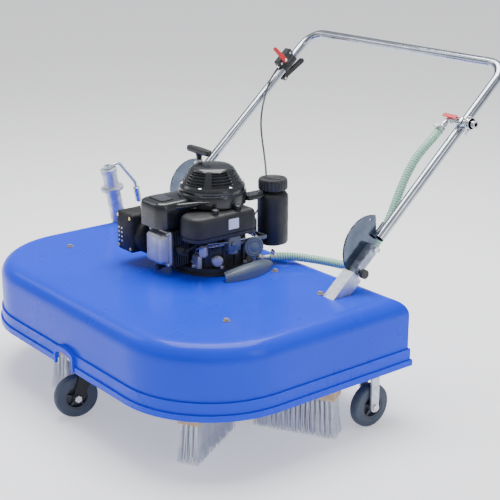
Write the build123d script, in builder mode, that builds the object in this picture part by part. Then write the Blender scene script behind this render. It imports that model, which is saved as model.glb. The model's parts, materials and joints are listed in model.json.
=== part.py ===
from build123d import *
from math import cos, pi, radians, sin
import os

# Walk-behind pavement sweeper: two contra-rotating brush stars under a moulded hood,
# a vertical-shaft petrol engine on top, a folding U-handle, a water line and a screw jack.
# Millimetres, +Z up, ground at z = 0. The front faces -Y and the handle is toward +Y.
# Places are given from the middle of the hood; at() moves them to the part's origin,
# which lies under the middle of the overall length.

# ---------------------------------------------------------------- driving dimensions
hood_width = 1178.0
hood_length = 764.0
hood_rim_z = 162.0
hood_top_z = 357.0
hood_wall = 4.0
hood_front_radius = 285.0
hood_rear_radius = 70.0
hood_shoulder = 48.0
rim_step = 5.0
rim_low_height = 17.0
rim_mid_height = 32.0

wheel_radius = 62.5
wheel_width = 30.0
tyre_round = 7.0
axle_radius = 6.0
rear_wheel_x = 547.0
rear_wheel_y = 260.0

rotor_module = 3.0
rotor_teeth = 61
pinion_teeth = 15
brush_radius = 318.0
trim_length = 112.0
block_height = 30.0
block_width = 60.0
arm_thickness = 6.0
arm_width = 50.0

engine_y = 133.0
drive_pulley_radius = 30.0
input_pulley_radius = 100.0
crank_radius = 12.5

handle_half_width = 432.0
handle_tube_radius = 14.0
handle_tube_wall = 2.5
handle_length = 697.6
handle_angle = 41.0
handle_bend = 62.0
pivot_y = 364.0
pivot_z = 466.0
fold_angle = 136.0
lock_radius = 80.0

jack_x = -545.0
jack_foot_y = 207.0
jack_lean = 10.6
jack_tube_radius = 24.0
jack_leg_radius = 20.95

caster_y = -315.0
caster_trail = 32.0
caster_turn = 15.0

hose_radius = 12.5
cable_radius = 3.0

cover_top = 270.0
hanger_x = 325.0
hanger_y = 62.0
socket_size = 42.0
insert_size = 26.0
socket_end = 94.0

running_gap = 0.05
clear_gap = 0.5

# ---------------------------------------------------------------- derived places
rotor_pitch_radius = rotor_module * rotor_teeth / 2
pinion_pitch_radius = rotor_module * pinion_teeth / 2
rotor_x = 3 * rotor_pitch_radius
idler_x = rotor_pitch_radius
pinion_direction = -60.0
pinion_reach = rotor_pitch_radius + pinion_pitch_radius
pinion_x = idler_x + pinion_reach * cos(radians(pinion_direction))
pinion_y = pinion_reach * sin(radians(pinion_direction))

handle_rear = pivot_y + handle_length * cos(radians(handle_angle)) + handle_tube_radius
front_wheel_y = caster_y - caster_trail * cos(radians(caster_turn))
front_wheel_x = -caster_trail * sin(radians(caster_turn))
front_reach = (
    front_wheel_y
    - (wheel_radius - tyre_round) * cos(radians(caster_turn))
    - (wheel_width / 2 - tyre_round) * sin(radians(caster_turn))
    - tyre_round
)
middle_y = -(handle_rear + front_reach) / 2


def at(x, y, z):
    """A place measured from the middle of the hood, moved to the part's own frame."""
    return (x, y + middle_y, z)


def level(z, x=0.0, y=0.0):
    """A horizontal sketch plane at height z."""
    return Plane(at(x, y, z))


def side_plane(x, y=0.0, z=0.0):
    """An upright plane facing +X: its x runs along +Y and its y along +Z."""
    return Plane(at(x, y, z), x_dir=(0, 1, 0), z_dir=(1, 0, 0))


def front_plane(x=0.0, y=0.0, z=0.0):
    """An upright plane facing -Y: its x runs along +X and its y along +Z."""
    return Plane(at(x, y, z), x_dir=(1, 0, 0), z_dir=(0, -1, 0))


handle_dir = (0, cos(radians(handle_angle)), sin(radians(handle_angle)))


def handle_plane(x, along=0.0, above=0.0):
    """Faces +X with its x up the handle, measured from the fold pivot."""
    y = pivot_y + along * handle_dir[1] - above * handle_dir[2]
    z = pivot_z + along * handle_dir[2] + above * handle_dir[1]
    return Plane(at(x, y, z), x_dir=handle_dir, z_dir=(1, 0, 0))


def handle_cross(x, along, above=0.0):
    """A plane square to the handle tube: its normal points up the handle."""
    y = pivot_y + along * handle_dir[1] - above * handle_dir[2]
    z = pivot_z + along * handle_dir[2] + above * handle_dir[1]
    return Plane(at(x, y, z), x_dir=(1, 0, 0), z_dir=handle_dir)


jack_dir = (0, -sin(radians(jack_lean)), cos(radians(jack_lean)))


def jack_level(t):
    """A plane square to the jack's axis, t up from the wheel axle's height."""
    foot = at(jack_x, jack_foot_y, wheel_radius)
    place = (foot[0], foot[1] + t * jack_dir[1], foot[2] + t * jack_dir[2])
    return Plane(place, x_dir=(1, 0, 0), z_dir=jack_dir)


def save(builder, name, colour):
    """Labels a finished piece and writes its STEP file."""
    builder.part.label = name
    builder.part.color = Color(*colour)
    export_step(builder.part, f"parts/{name}.step")


os.makedirs("parts", exist_ok=True)

blue = (0.05, 0.15, 0.75)
black = (0.03, 0.03, 0.04)
steel = (0.7, 0.72, 0.75)
dark_steel = (0.25, 0.27, 0.3)
grey = (0.45, 0.47, 0.5)
wood = (0.75, 0.62, 0.45)
bristle = (0.85, 0.85, 0.82)
red = (0.8, 0.1, 0.08)
brass = (0.8, 0.65, 0.3)
green = (0.6, 0.85, 0.7)


# ---------------------------------------------------------------- hood
def hood_plan(z, inset):
    """The hood's plan outline, moved in by inset."""
    with BuildSketch(level(z)) as plan:
        Rectangle(hood_width - 2 * inset, hood_length - 2 * inset)
        rows = plan.vertices().group_by(Axis.Y)
        fillet(rows[0], hood_front_radius - inset)
        fillet(rows[-1], hood_rear_radius - inset)
    return plan.sketch


notch_width = 86.0
notch_height = 42.0
collar_width = 8.0
hood_bolt_x = 398.0
hood_bolts_y = (-120.0, 206.0)
deck_bolt_x = 173.0
deck_bolt_y = 230.0
hood_bolts = [(sx * hood_bolt_x, y) for sx in (1, -1) for y in hood_bolts_y]
hood_bolts += [(sx * deck_bolt_x, deck_bolt_y) for sx in (1, -1)]
bolt_radius = 4.0
engine_hole_radius = 70.0
stub_x = 100.0
stub_y = 231.0
stub_radius = 10.0
low_z = hood_rim_z + rim_low_height
mid_z = low_z + rim_mid_height
body_inset = 2 * rim_step

with BuildPart() as hood_cavity:
    extrude(hood_plan(mid_z - hood_wall, body_inset + hood_wall), amount=hood_top_z - mid_z)
    fillet(hood_cavity.faces().sort_by(Axis.Z)[-1].edges(), hood_shoulder - hood_wall)
    extrude(hood_plan(low_z - hood_wall, rim_step + hood_wall), amount=rim_mid_height)
    extrude(hood_plan(hood_rim_z - 1, hood_wall), amount=rim_low_height - hood_wall + 1)

with BuildPart() as hood:
    extrude(hood_plan(mid_z, body_inset), amount=hood_top_z - mid_z)
    fillet(hood.faces().sort_by(Axis.Z)[-1].edges(), hood_shoulder)
    extrude(hood_plan(low_z, rim_step), amount=rim_mid_height)
    extrude(hood_plan(hood_rim_z, 0), amount=rim_low_height)
    with BuildSketch(front_plane(0, -hood_length / 2 + hood_wall + body_inset, hood_rim_z)):
        Rectangle(notch_width + 2 * collar_width, notch_height, align=(Align.CENTER, Align.MIN))
        with Locations((0, notch_height)):
            Ellipse(notch_width / 2 + collar_width, collar_width * 2)
    extrude(amount=hood_wall + body_inset + collar_width / 2)
    add(hood_cavity.part, mode=Mode.SUBTRACT)
    with BuildSketch(front_plane(0, -hood_length / 2 + 60, hood_rim_z - 1)):
        Rectangle(notch_width, notch_height - 15, align=(Align.CENTER, Align.MIN))
        with Locations((0, notch_height - 15)):
            Ellipse(notch_width / 2, 16)
    extrude(amount=80, mode=Mode.SUBTRACT)
    with BuildSketch(level(hood_top_z - 20)):
        with Locations((0, engine_y)):
            Circle(engine_hole_radius)
        with Locations((stub_x, stub_y)):
            Circle(stub_radius + 1)
        with Locations(*hood_bolts):
            Circle(bolt_radius + clear_gap)
    extrude(amount=40, mode=Mode.SUBTRACT)
    for side in (1, -1):
        with BuildSketch(handle_cross(side * handle_half_width, -260)):
            Rectangle(socket_size + 8, socket_size + 8)
        extrude(amount=140, mode=Mode.SUBTRACT)
    with BuildSketch(jack_level(200)):
        Circle(jack_tube_radius + 2)
    extrude(amount=160, mode=Mode.SUBTRACT)
save(hood, "hood", blue)

with BuildPart() as hood_screws:
    with BuildSketch(level(hood_top_z)):
        with Locations(*hood_bolts):
            Circle(10)
    extrude(amount=2)
    with BuildSketch(level(hood_top_z + 2)):
        with Locations(*hood_bolts):
            RegularPolygon(7.5, 6)
    extrude(amount=5.5)
    with BuildSketch(level(hood_top_z)):
        with Locations(*hood_bolts):
            Circle(bolt_radius)
    extrude(amount=-hood_wall - 8)
save(hood_screws, "hood_bolts", brass)

# ---------------------------------------------------------------- frame under the hood
deck_z = hood_top_z - hood_wall
deck_thickness = 8.0
beam_size = 40.0
beam_top = deck_z - deck_thickness
beam_z = beam_top - beam_size / 2
front_beam_y = -150.0
rear_beam_y = rear_wheel_y + 2.0
rail_front_y = front_beam_y - beam_size / 2
rail_rear_y = rear_beam_y - beam_size / 2
leg_thickness = 6.0
leg_width = 28.0
leg_gap = 4.0
outer_leg_x = rear_wheel_x + wheel_width / 2 + leg_gap
inner_leg_x = rear_wheel_x - wheel_width / 2 - leg_gap
plate_front = -180.0
plate_rear = 300.0
plate_half = 350.0
post_size = 60.0
caster_plate_z = 168.0
kingpin_radius = 8.0
kingpin_length = 20.0
bearing_height = 12.0
rear_beam_half = 540.0
leg_top = beam_z - beam_size / 2
bracket_z = 306.0
bracket_t = (bracket_z - wheel_radius) / jack_dir[2]
bracket_y = jack_foot_y + bracket_t * jack_dir[1]
bracket_width = 2 * jack_tube_radius + 4
arm_end_x = jack_x + bracket_width / 2
socket_low = (beam_top - pivot_z) / handle_dir[2] - socket_size / 2

with BuildPart() as frame:
    with BuildSketch(level(deck_z)):
        with Locations((0, (plate_front + plate_rear) / 2)):
            Rectangle(2 * plate_half, plate_rear - plate_front)
        for lug_side in (1, -1):
            for lug_y in hood_bolts_y:
                with Locations((lug_side * (hood_bolt_x + 5), lug_y)):
                    Rectangle(50, 40)
        with Locations((0, engine_y)):
            Circle(engine_hole_radius, mode=Mode.SUBTRACT)
        with Locations((stub_x, stub_y)):
            Circle(stub_radius, mode=Mode.SUBTRACT)
        with Locations(*hood_bolts):
            Circle(bolt_radius, mode=Mode.SUBTRACT)
    extrude(amount=-deck_thickness)
    for beam_y, half in ((front_beam_y, handle_half_width), (rear_beam_y, rear_beam_half)):
        with Locations(at(0, beam_y, beam_z)):
            Box(2 * half, beam_size, beam_size)
    for rail_side in (1, -1):
        with Locations(at(rail_side * handle_half_width, (rail_front_y + rail_rear_y) / 2, beam_z)):
            Box(beam_size, rail_rear_y - rail_front_y, beam_size)
    with Locations(at(0, (caster_y - 30 + rail_front_y) / 2, beam_z)):
        Box(beam_size, rail_front_y - caster_y + 30, beam_size)
    with Locations(at(0, caster_y, (caster_plate_z + beam_z) / 2)):
        Box(post_size, post_size, beam_z - caster_plate_z)
        Box(post_size - 8, post_size - 8, beam_z - caster_plate_z, mode=Mode.SUBTRACT)
    with Locations(at(0, caster_y, caster_plate_z - 3)):
        Box(80, 70, 6)
    with BuildSketch(level(caster_plate_z - 6, 0, caster_y)):
        Circle(25)
    extrude(amount=-bearing_height)
    with BuildSketch(level(caster_plate_z - 6 - bearing_height, 0, caster_y)):
        Circle(kingpin_radius)
    extrude(amount=-kingpin_length)
    with Locations(at((inner_leg_x + outer_leg_x) / 2, rear_wheel_y, beam_z - beam_size / 2 - 3)):
        Box(outer_leg_x - inner_leg_x + 2 * leg_thickness, leg_width, 6)
    for leg_x in (outer_leg_x, inner_leg_x - leg_thickness):
        with BuildSketch(side_plane(leg_x, rear_wheel_y, wheel_radius)):
            Circle(leg_width / 2)
            Rectangle(leg_width, leg_top - wheel_radius, align=(Align.CENTER, Align.MIN))
            Circle(axle_radius, mode=Mode.SUBTRACT)
        extrude(amount=leg_thickness)
    with BuildSketch(level(cover_top)):
        with GridLocations(2 * hanger_x, 2 * hanger_y, 2, 2):
            Circle(9)
    extrude(amount=beam_top - cover_top + 1)
    with BuildSketch(jack_level(bracket_t - 16)):
        Rectangle(bracket_width, bracket_width)
        Circle(jack_tube_radius, mode=Mode.SUBTRACT)
    extrude(amount=32)
    with Locations(at((arm_end_x - handle_half_width - beam_size / 2) / 2, bracket_y, bracket_z + 4)):
        Box(-arm_end_x - handle_half_width - beam_size / 2, 34, 16)
    for rail_side in (1, -1):
        with BuildSketch(handle_cross(rail_side * handle_half_width, socket_low)):
            Rectangle(socket_size, socket_size)
            Rectangle(insert_size, insert_size, mode=Mode.SUBTRACT)
        extrude(amount=-socket_end - socket_low)
save(frame, "frame", dark_steel)


# ---------------------------------------------------------------- wheels
hub_radius = 36.0
hub_bore = axle_radius + running_gap


def wheel_pieces(x, y, turn):
    """Tyre and hub of one wheel; the axle turns by turn degrees from +X."""
    axis_dir = (cos(radians(turn)), -sin(radians(turn)), 0)
    centre = Plane(at(x, y, wheel_radius), x_dir=(0, 0, 1), z_dir=axis_dir)
    with BuildPart() as tyre:
        with BuildSketch(centre.offset(-wheel_width / 2)):
            Circle(wheel_radius)
            Circle(hub_radius, mode=Mode.SUBTRACT)
        extrude(amount=wheel_width)
        outer = tyre.edges().filter_by(GeomType.CIRCLE).sort_by(SortBy.RADIUS)[-2:]
        fillet(outer, tyre_round)
    with BuildPart() as hub:
        with BuildSketch(centre.offset(-wheel_width / 2 + 1)):
            Circle(hub_radius)
            Circle(hub_radius - 6, mode=Mode.SUBTRACT)
        extrude(amount=wheel_width - 2)
        with BuildSketch(centre.offset(-4)):
            Circle(hub_radius)
            Circle(hub_bore, mode=Mode.SUBTRACT)
        extrude(amount=8)
        with BuildSketch(centre.offset(-wheel_width / 2)):
            Circle(13)
            Circle(hub_bore, mode=Mode.SUBTRACT)
        extrude(amount=wheel_width)
    return tyre, hub


def axle_bolt(x, y, turn, reach):
    """An axle bolt with a hexagon head and a nut; reach is half the width it clamps."""
    axis_dir = (cos(radians(turn)), -sin(radians(turn)), 0)
    centre = Plane(at(x, y, wheel_radius), x_dir=(0, 0, 1), z_dir=axis_dir)
    with BuildPart() as bolt:
        with BuildSketch(centre.offset(-reach)):
            Circle(axle_radius)
        extrude(amount=2 * reach)
        for end in (-reach - 6, reach):
            with BuildSketch(centre.offset(end)):
                RegularPolygon(10.5, 6)
            extrude(amount=6)
    return bolt


leg_reach = wheel_width / 2 + leg_gap + leg_thickness
left_tyre, left_hub = wheel_pieces(rear_wheel_x, rear_wheel_y, 0)
save(left_tyre, "left_wheel_tyre", grey)
save(left_hub, "left_wheel_hub", grey)
save(axle_bolt(rear_wheel_x, rear_wheel_y, 0, leg_reach), "left_wheel_axle", steel)
right_tyre, right_hub = wheel_pieces(-rear_wheel_x, rear_wheel_y, 0)
save(right_tyre, "right_wheel_tyre", grey)
save(right_hub, "right_wheel_hub", grey)
fork_plate = 5.0
fork_reach = wheel_width / 2 + leg_gap + fork_plate
save(axle_bolt(-rear_wheel_x, rear_wheel_y, 0, fork_reach), "right_wheel_axle", steel)
front_tyre, front_hub = wheel_pieces(front_wheel_x, front_wheel_y, caster_turn)
save(front_tyre, "front_wheel_tyre", grey)
save(front_hub, "front_wheel_hub", grey)
save(axle_bolt(front_wheel_x, front_wheel_y, caster_turn, fork_reach), "front_wheel_axle", steel)

# ---------------------------------------------------------------- front caster
fork_crown_z = 137.0
fork_gap = wheel_width / 2 + leg_gap
crown_top = caster_plate_z - 6 - bearing_height - 0.3

with BuildPart() as caster_fork:
    with BuildSketch(level(fork_crown_z, 0, caster_y)):
        Circle(30)
        Circle(kingpin_radius + running_gap, mode=Mode.SUBTRACT)
    extrude(amount=crown_top - fork_crown_z)
    for fork_side in (1, -1):
        offset_x = fork_side * (fork_gap + fork_plate / 2) - fork_plate / 2
        spot = at(offset_x * cos(radians(caster_turn)), caster_y - offset_x * sin(radians(caster_turn)), 0)
        leg_plane = Plane(
            spot,
            x_dir=(sin(radians(caster_turn)), cos(radians(caster_turn)), 0),
            z_dir=(cos(radians(caster_turn)), -sin(radians(caster_turn)), 0),
        )
        with BuildSketch(leg_plane):
            with Locations((-caster_trail, wheel_radius)):
                Circle(14)
            with Locations((0, fork_crown_z + 3)):
                Rectangle(44, 6)
            make_hull()
            with Locations((-caster_trail, wheel_radius)):
                Circle(axle_radius, mode=Mode.SUBTRACT)
        extrude(amount=fork_plate)
save(caster_fork, "caster_fork", black)

# ---------------------------------------------------------------- screw jack on the right
jack_bottom = 105.0
jack_top = 470.0
jack_leg_bottom = 62.0
jack_leg_top = 330.0
screw_radius = 8.0
crank_offset = 88.0
fork_y = jack_foot_y

with BuildPart() as jack_tube:
    with BuildSketch(jack_level(jack_bottom)):
        Circle(jack_tube_radius)
        Circle(jack_leg_radius + running_gap, mode=Mode.SUBTRACT)
    extrude(amount=jack_top - jack_bottom)
    with BuildSketch(jack_level(412)):
        Circle(37)
        Circle(jack_tube_radius, mode=Mode.SUBTRACT)
    extrude(amount=9)
    with BuildSketch(jack_level(jack_top)):
        Circle(27)
        Circle(screw_radius + running_gap, mode=Mode.SUBTRACT)
    extrude(amount=14)
save(jack_tube, "jack_tube", steel)

with BuildPart() as jack_leg:
    with BuildSketch(jack_level(jack_leg_bottom)):
        Circle(jack_leg_radius)
        Circle(jack_leg_radius - 3, mode=Mode.SUBTRACT)
    extrude(amount=jack_leg_top - jack_leg_bottom)
    with BuildSketch(jack_level(jack_leg_top - 25)):
        Circle(jack_leg_radius - 3)
        Circle(screw_radius + running_gap, mode=Mode.SUBTRACT)
    extrude(amount=25)
    for fork_side in (1, -1):
        plate_x = -rear_wheel_x + fork_side * (fork_gap + fork_plate / 2) - fork_plate / 2
        with BuildSketch(side_plane(plate_x)):
            with Locations((rear_wheel_y, wheel_radius)):
                Circle(14)
            with Locations((fork_y, fork_crown_z)):
                Rectangle(36, 6)
            make_hull()
            with Locations((rear_wheel_y, wheel_radius)):
                Circle(axle_radius, mode=Mode.SUBTRACT)
        extrude(amount=fork_plate)
    with Locations(at(-rear_wheel_x, fork_y, fork_crown_z)):
        Box(2 * fork_reach, 36, 6)
save(jack_leg, "jack_leg", steel)

with BuildPart() as jack_screw:
    with BuildSketch(jack_level(150)):
        Circle(screw_radius)
    extrude(amount=jack_top + 26 - 150)
save(jack_screw, "jack_screw", steel)

crank_hub_t = jack_top + 16
arm_t = crank_hub_t + 5
crank_plane = Plane(jack_level(0).origin, x_dir=jack_level(0).y_dir, z_dir=(1, 0, 0))

with BuildPart() as jack_crank:
    with BuildSketch(jack_level(crank_hub_t)):
        Circle(13)
        Circle(screw_radius, mode=Mode.SUBTRACT)
    extrude(amount=10)
    with BuildLine(crank_plane):
        FilletPolyline((12, arm_t), (42, arm_t), (crank_offset, 405), (crank_offset, 335), radius=14)
    with BuildSketch(Plane(crank_plane.from_local_coords((12, arm_t, 0)), z_dir=crank_plane.x_dir)):
        Circle(5)
    sweep()
save(jack_crank, "jack_crank", steel)

with BuildPart() as jack_grip:
    with BuildSketch(Plane(crank_plane.from_local_coords((crank_offset, 338, 0)), z_dir=jack_dir)):
        Circle(11)
        Circle(5 + running_gap, mode=Mode.SUBTRACT)
    extrude(amount=50)
    fillet(jack_grip.edges().filter_by(GeomType.CIRCLE).sort_by(SortBy.RADIUS)[-2:], 3)
save(jack_grip, "jack_grip", dark_steel)


# ---------------------------------------------------------------- gears
backlash = 0.9
addendum = 0.75 * rotor_module
dedendum = 1.2 * rotor_module
flank = 22.0


def gear_outline(teeth, tooth_angle):
    """Closed list of points of a straight-flanked gear with a tooth centred at tooth_angle."""
    pitch_radius = rotor_module * teeth / 2
    half = (pi * rotor_module / 2 - backlash) / 2
    points = []
    for tooth in range(teeth):
        centre = radians(tooth_angle + 360 * tooth / teeth)
        for side, depth in ((-1, -dedendum), (-1, addendum), (1, addendum), (1, -dedendum)):
            radius = pitch_radius + depth
            width = half - depth * sin(radians(flank)) / cos(radians(flank))
            angle = centre + side * width / pitch_radius
            points.append((radius * cos(angle), radius * sin(angle)))
    return points


gear_z = 225.0
gear_thickness = 20.0
shaft_radius = 15.0
idler_pin_radius = 12.0
half_tooth = 180 / rotor_teeth


def gear(teeth, x, y, tooth_angle, bore):
    """A spur gear lying flat with its bore."""
    with BuildPart() as wheel:
        with BuildSketch(level(gear_z, x, y)):
            with BuildLine():
                Polyline(*gear_outline(teeth, tooth_angle), close=True)
            make_face()
            Circle(bore, mode=Mode.SUBTRACT)
        extrude(amount=gear_thickness)
        if teeth == rotor_teeth:
            with BuildSketch(level(gear_z, x, y)):
                with PolarLocations(55, 6):
                    Circle(18)
            extrude(amount=gear_thickness, mode=Mode.SUBTRACT)
    return wheel


idler_bore = idler_pin_radius + running_gap
save(gear(rotor_teeth, rotor_x, 0, 180, shaft_radius), "left_rotor_gear", steel)
save(gear(rotor_teeth, idler_x, 0, 180, idler_bore), "left_idler_gear", steel)
save(gear(rotor_teeth, -idler_x, 0, 180, idler_bore), "right_idler_gear", steel)
save(gear(rotor_teeth, -rotor_x, 0, half_tooth, shaft_radius), "right_rotor_gear", steel)

below_tooth = (pinion_direction - 180) % (360 / rotor_teeth)
gap_angle = pinion_direction + 180 + below_tooth * rotor_teeth / pinion_teeth
pinion_tooth = gap_angle + 180 / pinion_teeth

# ---------------------------------------------------------------- gear case
case_bottom = 200.0
case_top = 262.0
case_wall = 6.0
cavity_radius = rotor_pitch_radius + addendum + 4
bearing_radius = 31.0
bearing_width = 16.0


def case_plan(z, grow):
    """Plan of the long case with a lobe for the pinion."""
    with BuildSketch(level(z)) as plan:
        Rectangle(2 * rotor_x, 2 * (cavity_radius + grow))
        with Locations((rotor_x, 0), (-rotor_x, 0)):
            Circle(cavity_radius + grow)
        with Locations((pinion_x, pinion_y)):
            Circle(pinion_pitch_radius + addendum + 5 + grow)
    return plan.sketch


rotor_places = [(rotor_x, 0), (-rotor_x, 0)]
idler_places = [(idler_x, 0), (-idler_x, 0)]

with BuildPart() as gear_case:
    extrude(case_plan(case_bottom, case_wall), amount=case_top - case_bottom)
    extrude(case_plan(case_bottom + 8, 0), amount=case_top - case_bottom - 8, mode=Mode.SUBTRACT)
    with BuildSketch(level(case_bottom)):
        with Locations(*rotor_places):
            Circle(bearing_radius + 6)
    extrude(amount=bearing_width)
    with BuildSketch(level(case_bottom)):
        with Locations(*rotor_places):
            Circle(bearing_radius)
    extrude(amount=bearing_width, mode=Mode.SUBTRACT)
    with BuildSketch(level(case_bottom)):
        with Locations(*idler_places):
            Circle(idler_pin_radius)
    extrude(amount=cover_top - case_bottom)
    with BuildSketch(level(case_bottom + 4, pinion_x, pinion_y)):
        Circle(idler_pin_radius + running_gap)
    extrude(amount=10, mode=Mode.SUBTRACT)
save(gear_case, "gear_case", grey)

with BuildPart() as gear_cover:
    extrude(case_plan(case_top, case_wall), amount=cover_top - case_top)
    with BuildSketch(level(cover_top - bearing_width)):
        with Locations(*rotor_places):
            Circle(bearing_radius + 6)
    extrude(amount=bearing_width)
    with BuildSketch(level(cover_top - bearing_width)):
        with Locations(*rotor_places):
            Circle(bearing_radius)
        with Locations(*idler_places):
            Circle(idler_pin_radius)
        with Locations((pinion_x, pinion_y)):
            Circle(idler_pin_radius + running_gap)
    extrude(amount=bearing_width, mode=Mode.SUBTRACT)
save(gear_cover, "gear_case_cover", grey)

with BuildPart() as bearings:
    for bearing_z in (case_bottom, cover_top - bearing_width):
        with BuildSketch(level(bearing_z)):
            with Locations(*rotor_places):
                Circle(bearing_radius)
                Circle(shaft_radius + running_gap, mode=Mode.SUBTRACT)
        extrude(amount=bearing_width)
save(bearings, "rotor_bearings", steel)

# ---------------------------------------------------------------- brush rotors
hub_z = trim_length + block_height + arm_thickness
arm_reach = 300.0
block_inner = 62.0
block_outer = 304.0
block_z = trim_length + block_height
left_turn = -61.0
rotor_turns = {"left": left_turn, "right": 180 - left_turn + 45}
rotor_sides = {"left": 1, "right": -1}


def rotor(side_name):
    """Spider with its shaft, brush blocks and bristles of one brush star."""
    x = rotor_sides[side_name] * rotor_x
    turn = rotor_turns[side_name]
    with BuildPart() as spider:
        with BuildSketch(level(hub_z, x)):
            Circle(60)
        extrude(amount=8)
        with BuildSketch(level(hub_z, x)):
            Circle(shaft_radius + 10)
        extrude(amount=38)
        with BuildSketch(level(hub_z, x)):
            Circle(shaft_radius)
        extrude(amount=cover_top - 4 - hub_z)
        with BuildSketch(level(block_z, x)):
            with PolarLocations(0, 4, start_angle=turn):
                Rectangle(arm_reach, arm_width, align=(Align.MIN, Align.CENTER))
        extrude(amount=arm_thickness)
    with BuildPart() as blocks:
        with BuildSketch(level(trim_length, x)):
            with PolarLocations(block_inner, 4, start_angle=turn):
                Rectangle(block_outer - block_inner, block_width, align=(Align.MIN, Align.CENTER))
        extrude(amount=block_height)
    with BuildPart() as tufts:
        for arm in range(4):
            with BuildSketch(level(0, x).rotated((0, 0, turn + 90 * arm))):
                with Locations(((brush_radius + block_inner - 6) / 2, 0)):
                    Rectangle(brush_radius - block_inner + 6, block_width + 6)
            with BuildSketch(level(trim_length, x).rotated((0, 0, turn + 90 * arm))):
                with Locations(((block_outer + block_inner) / 2, 0)):
                    Rectangle(block_outer - block_inner - 8, block_width - 10)
            loft()
    return spider, blocks, tufts


for side_name in rotor_sides:
    spider, blocks, tufts = rotor(side_name)
    save(spider, f"{side_name}_rotor_spider", dark_steel)
    save(blocks, f"{side_name}_brush_blocks", wood)
    save(tufts, f"{side_name}_bristles", bristle)

# ---------------------------------------------------------------- belt drive
pulley_z = 280.0
flange = 3.0
groove_width = 12.0
flange_height = 10.0
belt_gap = 0.3
belt_thickness = 8.0
belt_width = 10.0


pulley_top = pulley_z + 2 * flange + groove_width
shaft_bottom = case_bottom + 4.2


def pulley(x, y, groove_radius):
    """A grooved pulley with two flanges."""
    with BuildPart() as wheel:
        for base, height, extra in (
            (0, flange, flange_height),
            (flange, groove_width, 0),
            (flange + groove_width, flange, flange_height),
        ):
            with BuildSketch(level(pulley_z + base, x, y)):
                Circle(groove_radius + extra)
            extrude(amount=height)
    return wheel.part


input_pulley = pulley(pinion_x, pinion_y, input_pulley_radius)
drive_pulley = pulley(0, engine_y, drive_pulley_radius)

with BuildPart() as input_shaft:
    with BuildSketch(level(shaft_bottom, pinion_x, pinion_y)):
        Circle(idler_pin_radius)
    extrude(amount=pulley_top + 2 - shaft_bottom)
    with BuildSketch(level(gear_z, pinion_x, pinion_y)):
        with BuildLine():
            Polyline(*gear_outline(pinion_teeth, pinion_tooth), close=True)
        make_face()
    extrude(amount=gear_thickness)
    add(input_pulley)
save(input_shaft, "input_shaft", steel)

with BuildPart() as belt:
    for grow, mode in ((belt_gap + belt_thickness, Mode.ADD), (belt_gap, Mode.SUBTRACT)):
        with BuildSketch(level(pulley_z + flange + 1)):
            with Locations((0, engine_y)):
                Circle(drive_pulley_radius + grow)
            with Locations((pinion_x, pinion_y)):
                Circle(input_pulley_radius + grow)
            make_hull()
        extrude(amount=belt_width, mode=mode)
save(belt, "drive_belt", black)

# ---------------------------------------------------------------- water distribution
pipe_z = 325.0
pipe_tube_radius = rear_beam_y - beam_size / 2 - stub_y
pipe_half = 300.0
stub_top = 380.0
barb_length = 30.0
barb_turn = 63.0
barb_dir = (cos(radians(barb_turn)), sin(radians(barb_turn)), 0)

with BuildPart() as spray_pipe:
    with BuildSketch(side_plane(-pipe_half, stub_y, pipe_z)):
        Circle(pipe_tube_radius)
    extrude(amount=2 * pipe_half)
    with BuildSketch(level(pipe_z - stub_radius - 8, 0, stub_y)):
        with GridLocations(100, 0, 6, 1):
            Circle(5)
    extrude(amount=10)
    with BuildSketch(level(pipe_z, stub_x, stub_y)):
        Circle(stub_radius)
    extrude(amount=stub_top - pipe_z)
    with Locations(at(stub_x, stub_y, stub_top)):
        Sphere(stub_radius + 2)
    with BuildSketch(Plane(at(stub_x, stub_y, stub_top), x_dir=(0, 0, 1), z_dir=barb_dir)):
        Circle(8)
    extrude(amount=barb_length)
save(spray_pipe, "spray_pipe", steel)

# ---------------------------------------------------------------- engine
mount_z = hood_top_z + 8.0
case_radius = 95.0
fan_z = 552.0
disc_radius = 100.0
dome_z = 588.0
dome_top = 658.0

with BuildPart() as crankcase:
    for base, height, radius in (
        (hood_top_z, 8, 125),
        (mount_z, 12, 118),
        (mount_z + 12, 93, case_radius),
        (470, 72, 40),
    ):
        with BuildSketch(level(base, 0, engine_y)):
            Circle(radius)
        extrude(amount=height)
    with BuildSketch(level(hood_top_z, 0, engine_y)):
        Circle(40)
    extrude(amount=8, mode=Mode.SUBTRACT)
    with BuildSketch(level(hood_top_z, 0, engine_y)):
        Circle(crank_radius + running_gap)
    extrude(amount=200, mode=Mode.SUBTRACT)
    with BuildSketch(level(mount_z + 6, -88, 62)):
        Circle(12)
    extrude(amount=66)
    with BuildSketch(front_plane(-30, 22, mount_z + 10)):
        Circle(6)
    extrude(amount=56)
    with BuildSketch(front_plane(-30, -34, mount_z + 10)):
        RegularPolygon(9, 6)
    extrude(amount=14)
save(crankcase, "crankcase", grey)

with BuildPart() as crankshaft:
    with BuildSketch(level(pulley_z - 6, 0, engine_y)):
        Circle(crank_radius)
    extrude(amount=fan_z + 20 - pulley_z + 6)
    add(drive_pulley)
    with BuildSketch(level(fan_z, 0, engine_y)):
        Circle(88)
    extrude(amount=10)
    with BuildSketch(level(fan_z + 10, 0, engine_y)):
        with PolarLocations(70, 16):
            Rectangle(30, 4)
    extrude(amount=16)
save(crankshaft, "crankshaft", steel)

cylinder_x = -22.0
cylinder_z = 438.0
cylinder_front = -30.0
fin_count = 7

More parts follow.
